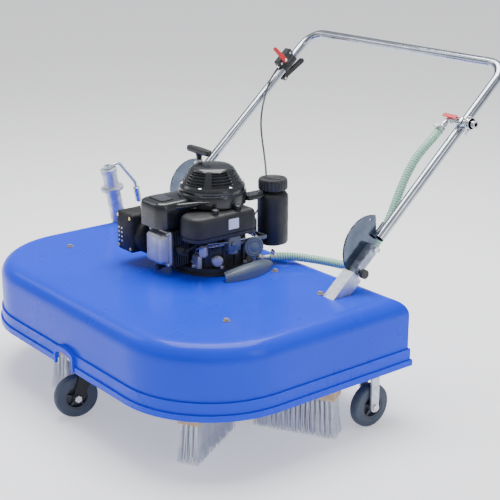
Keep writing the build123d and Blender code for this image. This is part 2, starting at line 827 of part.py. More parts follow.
with BuildPart() as cylinder:
    with BuildSketch(front_plane(cylinder_x, cylinder_front, cylinder_z)):
        Rectangle(76, 84)
    extrude(amount=-100)
    for fin in range(fin_count):
        with BuildSketch(front_plane(cylinder_x, cylinder_front + 8 * fin, cylinder_z)):
            Rectangle(104, 104)
        extrude(amount=-4)
    with BuildSketch(level(mount_z, 0, engine_y)):
        Circle(118)
    extrude(amount=12, mode=Mode.SUBTRACT)
    with BuildSketch(level(mount_z, 0, engine_y)):
        Circle(case_radius)
    extrude(amount=200, mode=Mode.SUBTRACT)
    with BuildSketch(side_plane(cylinder_x + 52, cylinder_front + 14, cylinder_z)):
        Circle(6)
    extrude(amount=16)
    with BuildSketch(side_plane(cylinder_x + 68, cylinder_front + 14, cylinder_z)):
        Circle(9)
    extrude(amount=24)
save(cylinder, "cylinder", dark_steel)

with BuildPart() as valve_cover:
    with BuildSketch(front_plane(cylinder_x, cylinder_front, cylinder_z)):
        RectangleRounded(96, 104, 12)
    extrude(amount=8)
    with BuildSketch(front_plane(cylinder_x, cylinder_front - 8, cylinder_z)):
        RectangleRounded(84, 94, 16)
    extrude(amount=26, taper=6)
    fillet(valve_cover.faces().sort_by(Axis.Y)[0].edges(), 6)
save(valve_cover, "valve_cover", steel)

tank_x = 75.0
tank_y = 300.0
tank_bottom = 408.0
tank_top = 568.0
tank_radius = 46.0
neck_radius = 30.0
cap_radius = 43.0
shroud_wall = 3.0
lobe_top = 575.0
lobe_bottom = 500.0
lobe_left = -94.0
lobe_right = 24.0
lobe_front = -70.0


def shroud_lobe(z, inset):
    """The shroud's forward lobe over the cylinder."""
    with BuildSketch(level(z)) as plan:
        with Locations(((lobe_left + lobe_right) / 2, (lobe_front + engine_y) / 2)):
            Rectangle(lobe_right - lobe_left - 2 * inset, engine_y - lobe_front - 2 * inset)
        fillet(plan.vertices().group_by(Axis.Y)[0], 30 - inset)
    return plan.sketch


with BuildPart() as fan_shroud:
    with BuildSketch(level(fan_z - 2, 0, engine_y)):
        Circle(disc_radius)
    extrude(amount=dome_z - fan_z + 2)
    extrude(shroud_lobe(lobe_bottom, 0), amount=lobe_top - lobe_bottom)
    with BuildSketch(level(fan_z - 2, 0, engine_y)):
        Circle(disc_radius - shroud_wall)
    extrude(amount=dome_z - fan_z + 2 - shroud_wall, mode=Mode.SUBTRACT)
    lobe_depth = lobe_top - lobe_bottom - shroud_wall
    extrude(shroud_lobe(lobe_bottom, shroud_wall), amount=lobe_depth, mode=Mode.SUBTRACT)
    with BuildSketch(level(lobe_bottom, 0, engine_y)):
        Circle(40)
    extrude(amount=50, mode=Mode.SUBTRACT)
    with BuildSketch(level(dome_z - 10, 0, engine_y)):
        Circle(80)
    extrude(amount=20, mode=Mode.SUBTRACT)
    with Locations(at(62, 236, 562)):
        Box(44, 70, 14)
    with BuildSketch(level(540, tank_x, tank_y)):
        Circle(tank_radius)
    extrude(amount=60, mode=Mode.SUBTRACT)
    with BuildSketch(level(540, 0, engine_y)):
        Circle(disc_radius - shroud_wall)
    extrude(amount=dome_z - 540 - shroud_wall, mode=Mode.SUBTRACT)
save(fan_shroud, "fan_shroud", black)

grip_x = -72.0
grip_y = 140.0
rope_radius = 2.5
grip_z = 676.0

with BuildPart() as recoil_cover:
    with BuildSketch(front_plane(0, engine_y, 0)):
        with BuildLine():
            Polyline(
                (0, dome_z),
                (96, dome_z),
                (96, dome_z + 10),
                (88, dome_z + 22),
                (58, dome_top),
                (0, dome_top),
                close=True,
            )
        make_face()
    revolve(axis=Axis(at(0, engine_y, 0), (0, 0, 1)))
    with BuildSketch(front_plane(0, engine_y, 0)):
        with BuildLine():
            Polyline(
                (0, dome_z),
                (92, dome_z),
                (92, dome_z + 9),
                (84, dome_z + 20),
                (56, dome_top - 3),
                (0, dome_top - 3),
                close=True,
            )
        make_face()
    revolve(axis=Axis(at(0, engine_y, 0), (0, 0, 1)), mode=Mode.SUBTRACT)
    with BuildSketch(level(612, grip_x, grip_y)):
        Circle(11)
    extrude(amount=48)
    with BuildSketch(level(600, grip_x, grip_y)):
        Circle(rope_radius + clear_gap)
    extrude(amount=80, mode=Mode.SUBTRACT)
    for louvre in range(5):
        with BuildSketch(level(dome_z + 20 + 8 * louvre, 0, engine_y)):
            with PolarLocations(80, 6, start_angle=-90):
                Rectangle(46, 34)
        extrude(amount=3.5, mode=Mode.SUBTRACT)
    with BuildSketch(level(596, 0, engine_y)):
        Circle(10)
    extrude(amount=dome_top - 3 - 596)
save(recoil_cover, "recoil_cover", black)

with BuildPart() as starter_reel:
    with BuildSketch(level(598, 0, engine_y)):
        Circle(50)
        Circle(10 + running_gap, mode=Mode.SUBTRACT)
    extrude(amount=12)
save(starter_reel, "starter_reel", black)

with BuildPart() as starter_grip:
    with BuildSketch(level(662, grip_x, grip_y)):
        Circle(8)
    extrude(amount=grip_z - 662)
    with BuildSketch(side_plane(grip_x - 52, grip_y, grip_z + 9)):
        RectangleRounded(20, 22, 7)
    extrude(amount=104)
    with BuildSketch(level(640, grip_x, grip_y)):
        Circle(rope_radius)
    extrude(amount=22)
save(starter_grip, "starter_grip", black)


with BuildPart() as fuel_tank:
    with BuildSketch(level(tank_bottom, tank_x, tank_y)):
        Circle(tank_radius)
    extrude(amount=tank_top - tank_bottom)
    fillet(fuel_tank.edges(), 7)
    with BuildSketch(level(tank_top - 1, tank_x, tank_y)):
        Circle(neck_radius)
    extrude(amount=14)
    with BuildSketch(level(tank_bottom + 12, tank_x, tank_y)):
        Circle(tank_radius - 4)
    extrude(amount=tank_top - tank_bottom - 20, mode=Mode.SUBTRACT)
    with BuildSketch(level(tank_top - 20, tank_x, tank_y)):
        Circle(neck_radius - 5)
    extrude(amount=40, mode=Mode.SUBTRACT)
save(fuel_tank, "fuel_tank", black)

with BuildPart() as fuel_cap:
    with BuildSketch(level(tank_top + 6, tank_x, tank_y)):
        Circle(cap_radius)
        Circle(neck_radius + clear_gap, mode=Mode.SUBTRACT)
    extrude(amount=8)
    with BuildSketch(level(tank_top + 13.5, tank_x, tank_y)):
        Circle(cap_radius)
    extrude(amount=25)
    with BuildSketch(level(tank_top + 6, tank_x, tank_y)):
        with PolarLocations(cap_radius, 30):
            Circle(1.2)
    extrude(amount=28)
    fillet(fuel_cap.faces().sort_by(Axis.Z)[-1].edges(), 3)
save(fuel_cap, "fuel_cap", black)

filter_x = (32.0, 130.0)
filter_y = (-24.0, 200.0)
filter_z = (474.0, 546.0)
knob_spots = ((110, 62), (113, 140))


def filter_plan(z):
    """Plan of the air cleaner, rounded at its front end."""
    with BuildSketch(level(z)) as plan:
        with Locations((sum(filter_x) / 2, sum(filter_y) / 2)):
            Rectangle(filter_x[1] - filter_x[0], filter_y[1] - filter_y[0])
        rows = plan.vertices().group_by(Axis.Y)
        fillet(rows[0], 40)
        fillet(rows[-1], 18)
    return plan.sketch


with BuildPart() as air_cleaner:
    extrude(filter_plan(filter_z[0]), amount=filter_z[1] - filter_z[0])
    fillet(air_cleaner.faces().sort_by(Axis.Z)[-1].edges(), 8)
    with BuildSketch(level(filter_z[0], 0, engine_y)):
        Circle(40 + clear_gap)
    extrude(amount=filter_z[1] - filter_z[0], mode=Mode.SUBTRACT)
    with BuildSketch(level(filter_z[1] - 1)):
        with Locations(*knob_spots):
            Circle(6)
    extrude(amount=5)
    with BuildSketch(level(filter_z[1] + 4)):
        with Locations(*knob_spots):
            Rectangle(20, 6)
            Circle(7)
    extrude(amount=9)
save(air_cleaner, "air_cleaner", black)

with BuildPart() as carburettor:
    with Locations(at(112, 120, 446)):
        Box(32, 46, 56)
    with BuildSketch(side_plane(80, 120, 446)):
        Circle(13)
    extrude(amount=20)
    with Locations(at(0, 270, 450)):
        Box(60, 4, 70)
    with Locations(at(0, 248, 446)):
        Box(20, 44, 6)
    with Locations(at(58, 243, 446)):
        Box(116, 6, 12)
    with Locations(at(112, 190, 446)):
        Box(8, 112, 12)
    with BuildSketch(level(400, 0, engine_y)):
        Circle(case_radius)
    extrude(amount=60, mode=Mode.SUBTRACT)
save(carburettor, "carburettor", grey)

muffler_x = (-190.0, -108.0)
muffler_y = (-78.0, 44.0)
muffler_z = (400.0, 518.0)

with BuildPart() as muffler:
    with Locations(at(sum(muffler_x) / 2, sum(muffler_y) / 2, sum(muffler_z) / 2)):
        Box(muffler_x[1] - muffler_x[0], muffler_y[1] - muffler_y[0], muffler_z[1] - muffler_z[0])
    fillet(muffler.edges().filter_by(Axis.Y), 10)
    with BuildSketch(side_plane(muffler_x[1], 0, cylinder_z)):
        Circle(14)
    extrude(amount=cylinder_x - 52 - muffler_x[1])
    with BuildSketch(front_plane(muffler_x[0] + 14, muffler_y[0], 430)):
        with GridLocations(0, 14, 1, 4):
            Rectangle(8, 5)
    extrude(amount=-6, mode=Mode.SUBTRACT)
save(muffler, "muffler", black)

shield_inner = 176.0
shield_wall = 5.0

with BuildPart() as engine_shield:
    with BuildSketch(level(hood_top_z, 0, engine_y)):
        Circle(shield_inner + shield_wall)
        Circle(shield_inner, mode=Mode.SUBTRACT)
        with BuildLine():
            Polyline((0, 0), (300, -150), (300, 260), close=True)
        make_face(mode=Mode.INTERSECT)
    extrude(amount=36)
    with BuildSketch(level(hood_top_z + 32, 0, engine_y)):
        Circle(shield_inner)
        Circle(shield_inner - 24, mode=Mode.SUBTRACT)
        with BuildLine():
            Polyline((0, 0), (300, -150), (300, 260), close=True)
        make_face(mode=Mode.INTERSECT)
    extrude(amount=4)
save(engine_shield, "engine_shield", grey)

# ---------------------------------------------------------------- handle mounts
pivot_radius = 6.0
plate_thickness = 5.0
sector_radius = 93.0
tube_start = 37.0
plate_gap = 0.6
insert_length = 55.0
lock_pin_radius = 4.0
housing_length = 6.0
ring_low = (392, 390, 424)
ring_high = (400, 421, 473)
ring_place = tuple((low + high) / 2 for low, high in zip(ring_low, ring_high))
ring_axis = tuple(high - low for low, high in zip(ring_low, ring_high))
ring_radius = 20.0
ring_wire = 3.5
sides = (1, -1)


def outward(side, x_inner, x_outer):
    """Plane offset and signed length to extrude between two distances from the middle plane."""
    return side * x_inner, side * (x_outer - x_inner)


insert_inner = handle_half_width - insert_size / 2
insert_outer = handle_half_width + insert_size / 2
plate_outer = insert_inner - plate_gap
plate_inner = plate_outer - plate_thickness
ring_tab = ((10, -8), (20, -40))

with BuildPart() as posts:
    for side in sides:
        start, depth = outward(side, insert_inner, insert_outer)
        with BuildSketch(handle_plane(start)):
            Circle(insert_size / 2)
            with Locations((0, 0)):
                Rectangle(socket_end + insert_length, insert_size, align=(Align.MAX, Align.CENTER))
            Circle(pivot_radius, mode=Mode.SUBTRACT)
            with Locations((-lock_radius, 0)):
                Circle(lock_pin_radius + running_gap, mode=Mode.SUBTRACT)
        extrude(amount=depth)
        start, depth = outward(side, insert_outer, insert_outer + housing_length)
        with BuildSketch(handle_plane(start, -lock_radius)):
            Circle(9)
            Circle(lock_pin_radius + running_gap, mode=Mode.SUBTRACT)
        extrude(amount=depth)
save(posts, "pivot_posts", steel)

with BuildPart() as pivot_bolts:
    for side in sides:
        start, depth = outward(side, plate_inner - 1, insert_outer)
        with BuildSketch(handle_plane(start)):
            Circle(pivot_radius)
        extrude(amount=depth)
        start, depth = outward(side, plate_inner - 9, plate_inner - 1)
        with BuildSketch(handle_plane(start)):
            RegularPolygon(9, 6)
        extrude(amount=depth)
        start, depth = outward(side, insert_outer, insert_outer + 7)
        with BuildSketch(handle_plane(start)):
            RegularPolygon(9, 6)
        extrude(amount=depth)
save(pivot_bolts, "pivot_bolts", steel)

sector_start = 33.0
sector_edge = (sector_radius * cos(radians(sector_start)), sector_radius * sin(radians(sector_start)))
edge_foot = (46.0, 8.0)
lug_length = 84.0
lug_half = 11.0
fold_hole = 180.0 - fold_angle
handle_face = Plane(at(0, pivot_y, pivot_z), x_dir=(1, 0, 0), z_dir=(0, -handle_dir[2], handle_dir[1]))

with BuildPart() as handle:
    for side in sides:
        start, depth = outward(side, plate_inner, plate_outer)
        with BuildSketch(handle_plane(start)):
            Circle(sector_radius)
            with BuildLine():
                Polyline(
                    sector_edge,
                    edge_foot,
                    (lug_length, lug_half),
                    (lug_length, -lug_half),
                    (-40, -15),
                    (-sector_radius - 5, -15),
                    (-sector_radius - 5, sector_radius + 5),
                    (sector_edge[0], sector_radius + 5),
                    close=True,
                )
            make_face(mode=Mode.INTERSECT)
            with Locations(((tube_start + lug_length) / 2, 0)):
                Rectangle(lug_length - tube_start, 2 * lug_half)
            Circle(pivot_radius + running_gap, mode=Mode.SUBTRACT)
            with PolarLocations(lock_radius, 1, start_angle=180):
                Circle(lock_pin_radius + running_gap, mode=Mode.SUBTRACT)
            with PolarLocations(lock_radius, 1, start_angle=fold_hole):
                Circle(lock_pin_radius + running_gap, mode=Mode.SUBTRACT)
        extrude(amount=depth)
        start, depth = outward(side, plate_outer, handle_half_width)
        with BuildSketch(handle_plane(start)):
            with Locations(((tube_start + lug_length) / 2, 0)):
                Rectangle(lug_length - tube_start, 2 * lug_half)
        extrude(amount=depth)
    with BuildSketch(handle_plane(plate_inner)):
        with Locations(*ring_tab):
            Circle(5)
        make_hull()
    extrude(amount=plate_thickness)
    with BuildSketch(Plane(at(*ring_place), x_dir=(1, 0, 0), z_dir=ring_axis)):
        Circle(ring_radius)
        Circle(ring_radius - ring_wire, mode=Mode.SUBTRACT)
    extrude(amount=3, both=True)
    with BuildLine(handle_face) as handle_path:
        FilletPolyline(
            (handle_half_width, tube_start),
            (handle_half_width, handle_length),
            (-handle_half_width, handle_length),
            (-handle_half_width, tube_start),
            radius=handle_bend,
        )
    with BuildSketch(handle_cross(handle_half_width, tube_start)):
        Circle(handle_tube_radius)
    sweep(path=handle_path.wire())
    with BuildSketch(handle_cross(handle_half_width, tube_start)):
        Circle(handle_tube_radius - handle_tube_wall)
    sweep(path=handle_path.wire(), mode=Mode.SUBTRACT)
save(handle, "handle", steel)

for side, side_name in ((1, "left"), (-1, "right")):
    with BuildPart() as lock_pin:
        start, depth = outward(side, insert_inner + 0.3, insert_outer + 16)
        with BuildSketch(handle_plane(start, -lock_radius)):
            Circle(lock_pin_radius)
        extrude(amount=depth)
        start, depth = outward(side, insert_outer + 16, insert_outer + 28)
        with BuildSketch(handle_plane(start, -lock_radius)):
            Circle(13)
        extrude(amount=depth)
    save(lock_pin, f"{side_name}_lock_pin", grey)

# ---------------------------------------------------------------- water valve on the handle
valve_along = 455.4
valve_above = 27.0
valve_body_radius = 11.0
valve_half = 16.0
pipe_radius = 8.0
elbow_x = 397.0
inlet_x = 470.0
coupling_length = 15.0
coupling_radius = 10.48
tail_tilt = 38.0
tail_dir = (0, -cos(radians(tail_tilt)), -sin(radians(tail_tilt)))
tail_length = 34.0
elbow_bend = 14.0


def valve_plane(x):
    """A plane across the water line, facing +X."""
    return handle_plane(x, valve_along, valve_above)


elbow_origin = valve_plane(elbow_x).origin
tail_origin = elbow_origin + tail_length * Vector(*tail_dir)
valve_stem = Plane(valve_plane(handle_half_width).origin, x_dir=(1, 0, 0), z_dir=handle_face.z_dir)

with BuildPart() as water_valve:
    with BuildSketch(handle_cross(handle_half_width, valve_along - 9)):
        Circle(handle_tube_radius + 4)
        with Locations((0, valve_above / 2)):
            Rectangle(16, valve_above)
        Circle(handle_tube_radius, mode=Mode.SUBTRACT)
    extrude(amount=18)
    with BuildSketch(valve_plane(handle_half_width - valve_half)):
        Circle(valve_body_radius)
    extrude(amount=2 * valve_half)
    with BuildLine():
        FilletPolyline(valve_plane(inlet_x).origin, elbow_origin, tail_origin, radius=elbow_bend)
    with BuildSketch(Plane(valve_plane(inlet_x).origin, x_dir=(0, 0, 1), z_dir=(-1, 0, 0))):
        Circle(pipe_radius)
    sweep()
    with BuildSketch(valve_stem):
        Circle(5)
    extrude(amount=valve_body_radius + 4)
    with BuildSketch(Plane(tail_origin - 12 * Vector(*tail_dir), x_dir=(1, 0, 0), z_dir=tail_dir)):
        Circle(pipe_radius + 2.5)
    extrude(amount=4)
    with BuildSketch(valve_plane(inlet_x)):
        Circle(16)
    extrude(amount=16)
    with BuildSketch(valve_plane(inlet_x + 16)):
        Circle(coupling_radius)
    extrude(amount=coupling_length)
    with BuildSketch(valve_plane(inlet_x + 16 + coupling_length)):
        Circle(6)
    extrude(amount=-coupling_length, mode=Mode.SUBTRACT)
save(water_valve, "water_valve", steel)

with BuildPart() as valve_lever:
    with BuildSketch(valve_stem.offset(valve_body_radius + 4)):
        Circle(7)
        Rectangle(46, 11, align=(Align.MAX, Align.CENTER))
    extrude(amount=4)
save(valve_lever, "valve_lever", red)


# ---------------------------------------------------------------- hose and throttle cable
def flexible(points, radius):
    """A round tube of straight runs and tangent arcs through the points."""
    places = [Vector(*at(*point)) for point in points]
    radii = []
    for before, corner, after in zip(places, places[1:], places[2:]):
        turn = radians((corner - before).get_angle(after - corner))
        shorter = min((corner - before).length, (after - corner).length)
        radii.append(0.45 * shorter * cos(turn / 2) / sin(turn / 2))
    with BuildPart() as tube:
        with BuildLine() as path:
            FilletPolyline(*places, radius=radii)
        centre = path.wire()
        with BuildSketch(Plane(centre @ 0, z_dir=centre % 0)):
            Circle(radius)
        sweep(path=centre)
    length = centre.length
    print([round(r) for r in radii], round(length), round(tube.part.volume / (pi * radius**2 * length), 4))
    return tube


def along_line(start, direction, distance):
    """The place a distance along a direction from a start."""
    return tuple(start[i] + distance * direction[i] for i in range(3))


barb_end = along_line((stub_x, stub_y, stub_top), barb_dir, barb_length)
elbow_place = (
    elbow_x,
    pivot_y + valve_along * handle_dir[1] - valve_above * handle_dir[2],
    pivot_z + valve_along * handle_dir[2] + valve_above * handle_dir[1],
)
tail_end = along_line(elbow_place, tail_dir, tail_length)

hose_points = [
    barb_end,
    along_line(barb_end, barb_dir, 40),
    (163, 332, 377),
    (210, 360, 375),
    (260, 373, 377),
    (310, 376, 381),
    (360, 379, 393),
    ring_low,
    ring_high,
    (402, 450, 512),
    (394, 484, 556),
    (387, 518, 608),
    (384, 549, 652),
    (388, 580, 694),
    along_line(tail_end, tail_dir, 55),
    tail_end,
]


def beside_tube(along, out, above):
    """A place beside the right handle tube."""
    return (
        -handle_half_width + out,
        pivot_y + along * handle_dir[1] - above * handle_dir[2],
        pivot_z + along * handle_dir[2] + above * handle_dir[1],
    )


cable_gap = handle_tube_radius + cable_radius + 5
cable_points = [
    beside_tube(516.5, 4, cable_gap + 2),
    beside_tube(480, 6, cable_gap),
    beside_tube(436, 14, cable_gap - 4),
    (-390, 640, 716),
    (-350, 600, 694),
    (-304, 560, 675),
    (-254, 521, 657),
    (-202, 484, 638),
    (-150, 449, 614),
    (-101, 416, 584),
    (-58, 384, 551),
    (-26, 347, 517),
    (-8, 311, 483),
    (-4, 274.6, 465),
]
save(flexible(hose_points, hose_radius), "water_hose", green)
save(flexible(cable_points, cable_radius), "throttle_cable", black)

# ---------------------------------------------------------------- hand controls on the right
control_along = 552.0
control_above = 27.0
lever_along = 508.0
lever_below = -24.0
lever_pin = 4.0

with BuildPart() as control_housing:
    with BuildSketch(handle_plane(-handle_half_width - 11, control_along, control_above)):
        RectangleRounded(70, 26, 6)
    extrude(amount=22)
    with BuildSketch(handle_cross(-handle_half_width, control_along - 30)):
        Circle(handle_tube_radius + 3)
    extrude(amount=60)
    for fork_side in (1, -1):
        start = -handle_half_width + fork_side * 8 - 2
        with BuildSketch(handle_plane(start, lever_along, lever_below)):
            Circle(9)
            with Locations((26, 8)):
                Rectangle(8, 16)
            make_hull()
            Circle(lever_pin + running_gap, mode=Mode.SUBTRACT)
        extrude(amount=4)
    with BuildSketch(handle_cross(-handle_half_width, control_along - 60)):
        Circle(handle_tube_radius)
    extrude(amount=120, mode=Mode.SUBTRACT)
save(control_housing, "control_housing", black)

with BuildPart() as throttle_lever:
    with BuildSketch(handle_plane(-handle_half_width + 11.3, control_along - 8, control_above)):
        Circle(9)
        with Locations((-6, 60)):
            Circle(6)
        make_hull()
    extrude(amount=5)
save(throttle_lever, "throttle_lever", red)

with BuildPart() as stop_lever:
    with BuildSketch(handle_plane(-handle_half_width - 10, lever_along, lever_below)):
        Circle(lever_pin)
    extrude(amount=20)
    with BuildSketch(handle_plane(-handle_half_width - 5.5, lever_along, lever_below)):
        Circle(6)
        with Locations((92, -14)):
            Circle(8)
        make_hull()
    extrude(amount=11)
save(stop_lever, "stop_lever", black)
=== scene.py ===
import json
import math
import random
import bpy
import bmesh
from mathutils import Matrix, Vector


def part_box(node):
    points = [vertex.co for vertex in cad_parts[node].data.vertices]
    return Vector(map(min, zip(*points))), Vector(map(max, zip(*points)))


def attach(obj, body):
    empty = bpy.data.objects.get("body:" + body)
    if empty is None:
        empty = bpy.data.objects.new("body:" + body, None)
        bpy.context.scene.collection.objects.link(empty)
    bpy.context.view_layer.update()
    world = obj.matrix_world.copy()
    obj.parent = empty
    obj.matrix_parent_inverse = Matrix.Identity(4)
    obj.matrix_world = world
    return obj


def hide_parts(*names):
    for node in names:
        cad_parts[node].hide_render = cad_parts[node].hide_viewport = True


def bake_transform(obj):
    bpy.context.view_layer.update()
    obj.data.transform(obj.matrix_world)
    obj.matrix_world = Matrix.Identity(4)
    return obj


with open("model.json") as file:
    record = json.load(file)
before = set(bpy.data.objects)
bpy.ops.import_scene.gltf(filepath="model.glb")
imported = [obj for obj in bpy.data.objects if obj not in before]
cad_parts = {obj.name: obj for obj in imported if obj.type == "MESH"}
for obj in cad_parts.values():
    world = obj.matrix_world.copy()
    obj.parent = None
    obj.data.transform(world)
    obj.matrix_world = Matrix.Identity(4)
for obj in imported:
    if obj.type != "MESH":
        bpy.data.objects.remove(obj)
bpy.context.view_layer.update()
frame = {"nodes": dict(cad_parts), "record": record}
scene = bpy.context.scene
random.seed(11)

# ------------------------------------------------------------------ places
HOOD_REAR = 0.382
MIDDLE_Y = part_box("hood")[1].y - HOOD_REAR
PIVOT = (0.364, 0.466)
HANDLE_ANGLE = math.radians(41)
HOOD_TOP = 357
RIDGE_CLEAR = 0.102
BRUSH_ARMS = 4
TUFT_COLUMNS = 17
TUFT_ROWS = 4
TUFT_STRANDS = 11
UP_HANDLE = Vector((0, math.cos(HANDLE_ANGLE), math.sin(HANDLE_ANGLE)))
OFF_HANDLE = Vector((0, -math.sin(HANDLE_ANGLE), math.cos(HANDLE_ANGLE)))


def place(x, y, z):
    """A place in millimetres from the middle of the hood, as a vector in metres in the frame."""
    return Vector((x / 1000, y / 1000 + MIDDLE_Y, z / 1000))


def on_handle(x, along, above):
    """A place by its distance up the handle from the fold pivot and above the tube, in millimetres."""
    pivot = place(x, PIVOT[0] * 1000, PIVOT[1] * 1000)
    return pivot + UP_HANDLE * (along / 1000) + OFF_HANDLE * (above / 1000)


# ------------------------------------------------------------------ camera
camera_data = bpy.data.cameras.new("camera")
SENSOR_WIDTH = 36
FOCAL_PIXELS = 1217
PICTURE_PIXELS = 500
camera_data.sensor_width = SENSOR_WIDTH
camera_data.lens = FOCAL_PIXELS / PICTURE_PIXELS * SENSOR_WIDTH
camera_data.clip_end = 50
camera = bpy.data.objects.new("camera", camera_data)
scene.collection.objects.link(camera)
camera.location = place(2749, -1905, 1522)
target = place(-60, 321, 344)
camera.rotation_euler = (target - camera.location).to_track_quat("-Z", "Y").to_euler()
scene.camera = camera


# ------------------------------------------------------------------ materials
def shader(name):
    """A new node material: its tree, its shader node and its object coordinates."""
    mat = bpy.data.materials.new(name)
    mat.use_nodes = True
    tree = mat.node_tree
    bsdf = tree.nodes["Principled BSDF"]
    coords = tree.nodes.new("ShaderNodeTexCoord").outputs["Object"]
    return mat, tree, bsdf, coords


def noise(tree, coords, scale, detail=4.0, stretch=None):
    """A noise texture's factor, stretched along an axis where asked."""
    if stretch:
        mapping = tree.nodes.new("ShaderNodeMapping")
        mapping.inputs["Scale"].default_value = stretch
        tree.links.new(coords, mapping.inputs["Vector"])
        coords = mapping.outputs["Vector"]
    node = tree.nodes.new("ShaderNodeTexNoise")
    node.inputs["Scale"].default_value = scale
    node.inputs["Detail"].default_value = detail
    tree.links.new(coords, node.inputs["Vector"])
    return node.outputs["Fac"]


def ramp(tree, fac, stops):
    """A colour ramp over a factor."""
    node = tree.nodes.new("ShaderNodeValToRGB")
    elements = node.color_ramp.elements
    while len(elements) < len(stops):
        elements.new(0.5)
    for element, (position, colour) in zip(elements, stops):
        element.position = position
        element.color = (*colour, 1)
    tree.links.new(fac, node.inputs["Fac"])
    return node.outputs["Color"]


def spread(tree, fac, low, high):
    """Maps a factor's middle range to low and high."""
    node = tree.nodes.new("ShaderNodeMapRange")
    node.inputs["From Min"].default_value = 0.3
    node.inputs["From Max"].default_value = 0.7
    node.inputs["To Min"].default_value = low
    node.inputs["To Max"].default_value = high
    tree.links.new(fac, node.inputs["Value"])
    return node.outputs["Result"]


def bump(tree, bsdf, fac, strength, distance):
    """Bumps the surface by a factor."""
    node = tree.nodes.new("ShaderNodeBump")
    node.inputs["Strength"].default_value = strength
    node.inputs["Distance"].default_value = distance
    tree.links.new(fac, node.inputs["Height"])
    tree.links.new(node.outputs["Normal"], bsdf.inputs["Normal"])


def finish(
    name,
    colour,
    vary=0.12,
    scale=9.0,
    rough=(0.35, 0.5),
    metal=0.0,
    grain=180.0,
    relief=0.15,
    coat=0.0,
    stretch=None,
    shine=0.5,
):
    """A finish with drifting colour, uneven gloss and a fine grain."""
    mat, tree, bsdf, coords = shader(name)
    low = tuple(c * (1 - vary) for c in colour)
    high = tuple(min(1.0, c * (1 + vary) + 0.01 * vary) for c in colour)
    drift = noise(tree, coords, scale, 5.0, stretch)
    tree.links.new(ramp(tree, drift, ((0.3, low), (0.7, high))), bsdf.inputs["Base Color"])
    tree.links.new(
        spread(tree, noise(tree, coords, scale * 3, 3.0, stretch), *rough), bsdf.inputs["Roughness"]
    )
    bsdf.inputs["Metallic"].default_value = metal
    bsdf.inputs["Specular IOR Level"].default_value = shine
    bsdf.inputs["Coat Weight"].default_value = coat
    bsdf.inputs["Coat Roughness"].default_value = 0.08
    bump(tree, bsdf, noise(tree, coords, grain, 6.0, stretch), relief, 0.0006)
    return mat


def zinc_finish(name, tint, cell=70.0, rough=(0.28, 0.5)):
    """Galvanised steel with its spangle."""
    mat, tree, bsdf, coords = shader(name)
    cells = tree.nodes.new("ShaderNodeTexVoronoi")
    cells.inputs["Scale"].default_value = cell
    tree.links.new(coords, cells.inputs["Vector"])
    split = tree.nodes.new("ShaderNodeSeparateColor")
    tree.links.new(cells.outputs["Color"], split.inputs["Color"])
    low = tuple(c * 0.86 for c in tint)
    high = tuple(min(1.0, c * 1.1) for c in tint)
    tree.links.new(ramp(tree, split.outputs["Red"], ((0.1, low), (0.9, high))), bsdf.inputs["Base Color"])
    tree.links.new(spread(tree, split.outputs["Green"], *rough), bsdf.inputs["Roughness"])
    bsdf.inputs["Metallic"].default_value = 0.75
    bump(tree, bsdf, noise(tree, coords, 260.0), 0.12, 0.0004)
    return mat


def handle_finish(name):
    """Bright zinc tube; the flat pivot plates inside it are a duller grey."""
    mat, tree, bsdf, coords = shader(name)
    split = tree.nodes.new("ShaderNodeSeparateXYZ")
    tree.links.new(coords, split.inputs["Vector"])
    inside = None
    for output, operation, limit in (("X", "LESS_THAN", 0.4186), ("Y", "LESS_THAN", MIDDLE_Y + 0.47)):
        value = split.outputs[output]
        if output == "X":
            size = tree.nodes.new("ShaderNodeMath")
            size.operation = "ABSOLUTE"
            tree.links.new(value, size.inputs[0])
            value = size.outputs["Value"]
        test = tree.nodes.new("ShaderNodeMath")
        test.operation = operation
        test.inputs[1].default_value = limit
        tree.links.new(value, test.inputs[0])
        if inside is None:
            inside = test.outputs["Value"]
        else:
            both = tree.nodes.new("ShaderNodeMath")
            both.operation = "MULTIPLY"
            tree.links.new(inside, both.inputs[0])
            tree.links.new(test.outputs["Value"], both.inputs[1])
            inside = both.outputs["Value"]
    drift = noise(tree, coords, 24.0)
    tube = ramp(tree, drift, ((0.3, (0.34, 0.37, 0.43)), (0.7, (0.46, 0.50, 0.57))))
    plate = ramp(tree, drift, ((0.3, (0.085, 0.105, 0.15)), (0.7, (0.13, 0.16, 0.215))))
    mix = tree.nodes.new("ShaderNodeMix")
    mix.data_type = "RGBA"
    tree.links.new(inside, mix.inputs["Factor"])
    tree.links.new(tube, mix.inputs["A"])
    tree.links.new(plate, mix.inputs["B"])
    tree.links.new(mix.outputs["Result"], bsdf.inputs["Base Color"])
    tree.links.new(spread(tree, noise(tree, coords, 55.0), 0.10, 0.22), bsdf.inputs["Roughness"])
    bsdf.inputs["Metallic"].default_value = 1.0
    bump(tree, bsdf, noise(tree, coords, 300.0), 0.08, 0.0004)
    return mat


def wood_finish(name):
    """Bare beech with its grain along the board."""
    mat, tree, bsdf, coords = shader(name)
    grain = noise(tree, coords, 14.0, 8.0, (1.0, 1.0, 9.0))
    stops = ((0.25, (0.42, 0.28, 0.15)), (0.5, (0.60, 0.44, 0.27)), (0.8, (0.74, 0.60, 0.42)))
    tree.links.new(ramp(tree, grain, stops), bsdf.inputs["Base Color"])
    tree.links.new(spread(tree, noise(tree, coords, 90.0), 0.55, 0.8), bsdf.inputs["Roughness"])
    bump(tree, bsdf, noise(tree, coords, 60.0, 8.0, (1.0, 1.0, 12.0)), 0.3, 0.0008)
    return mat


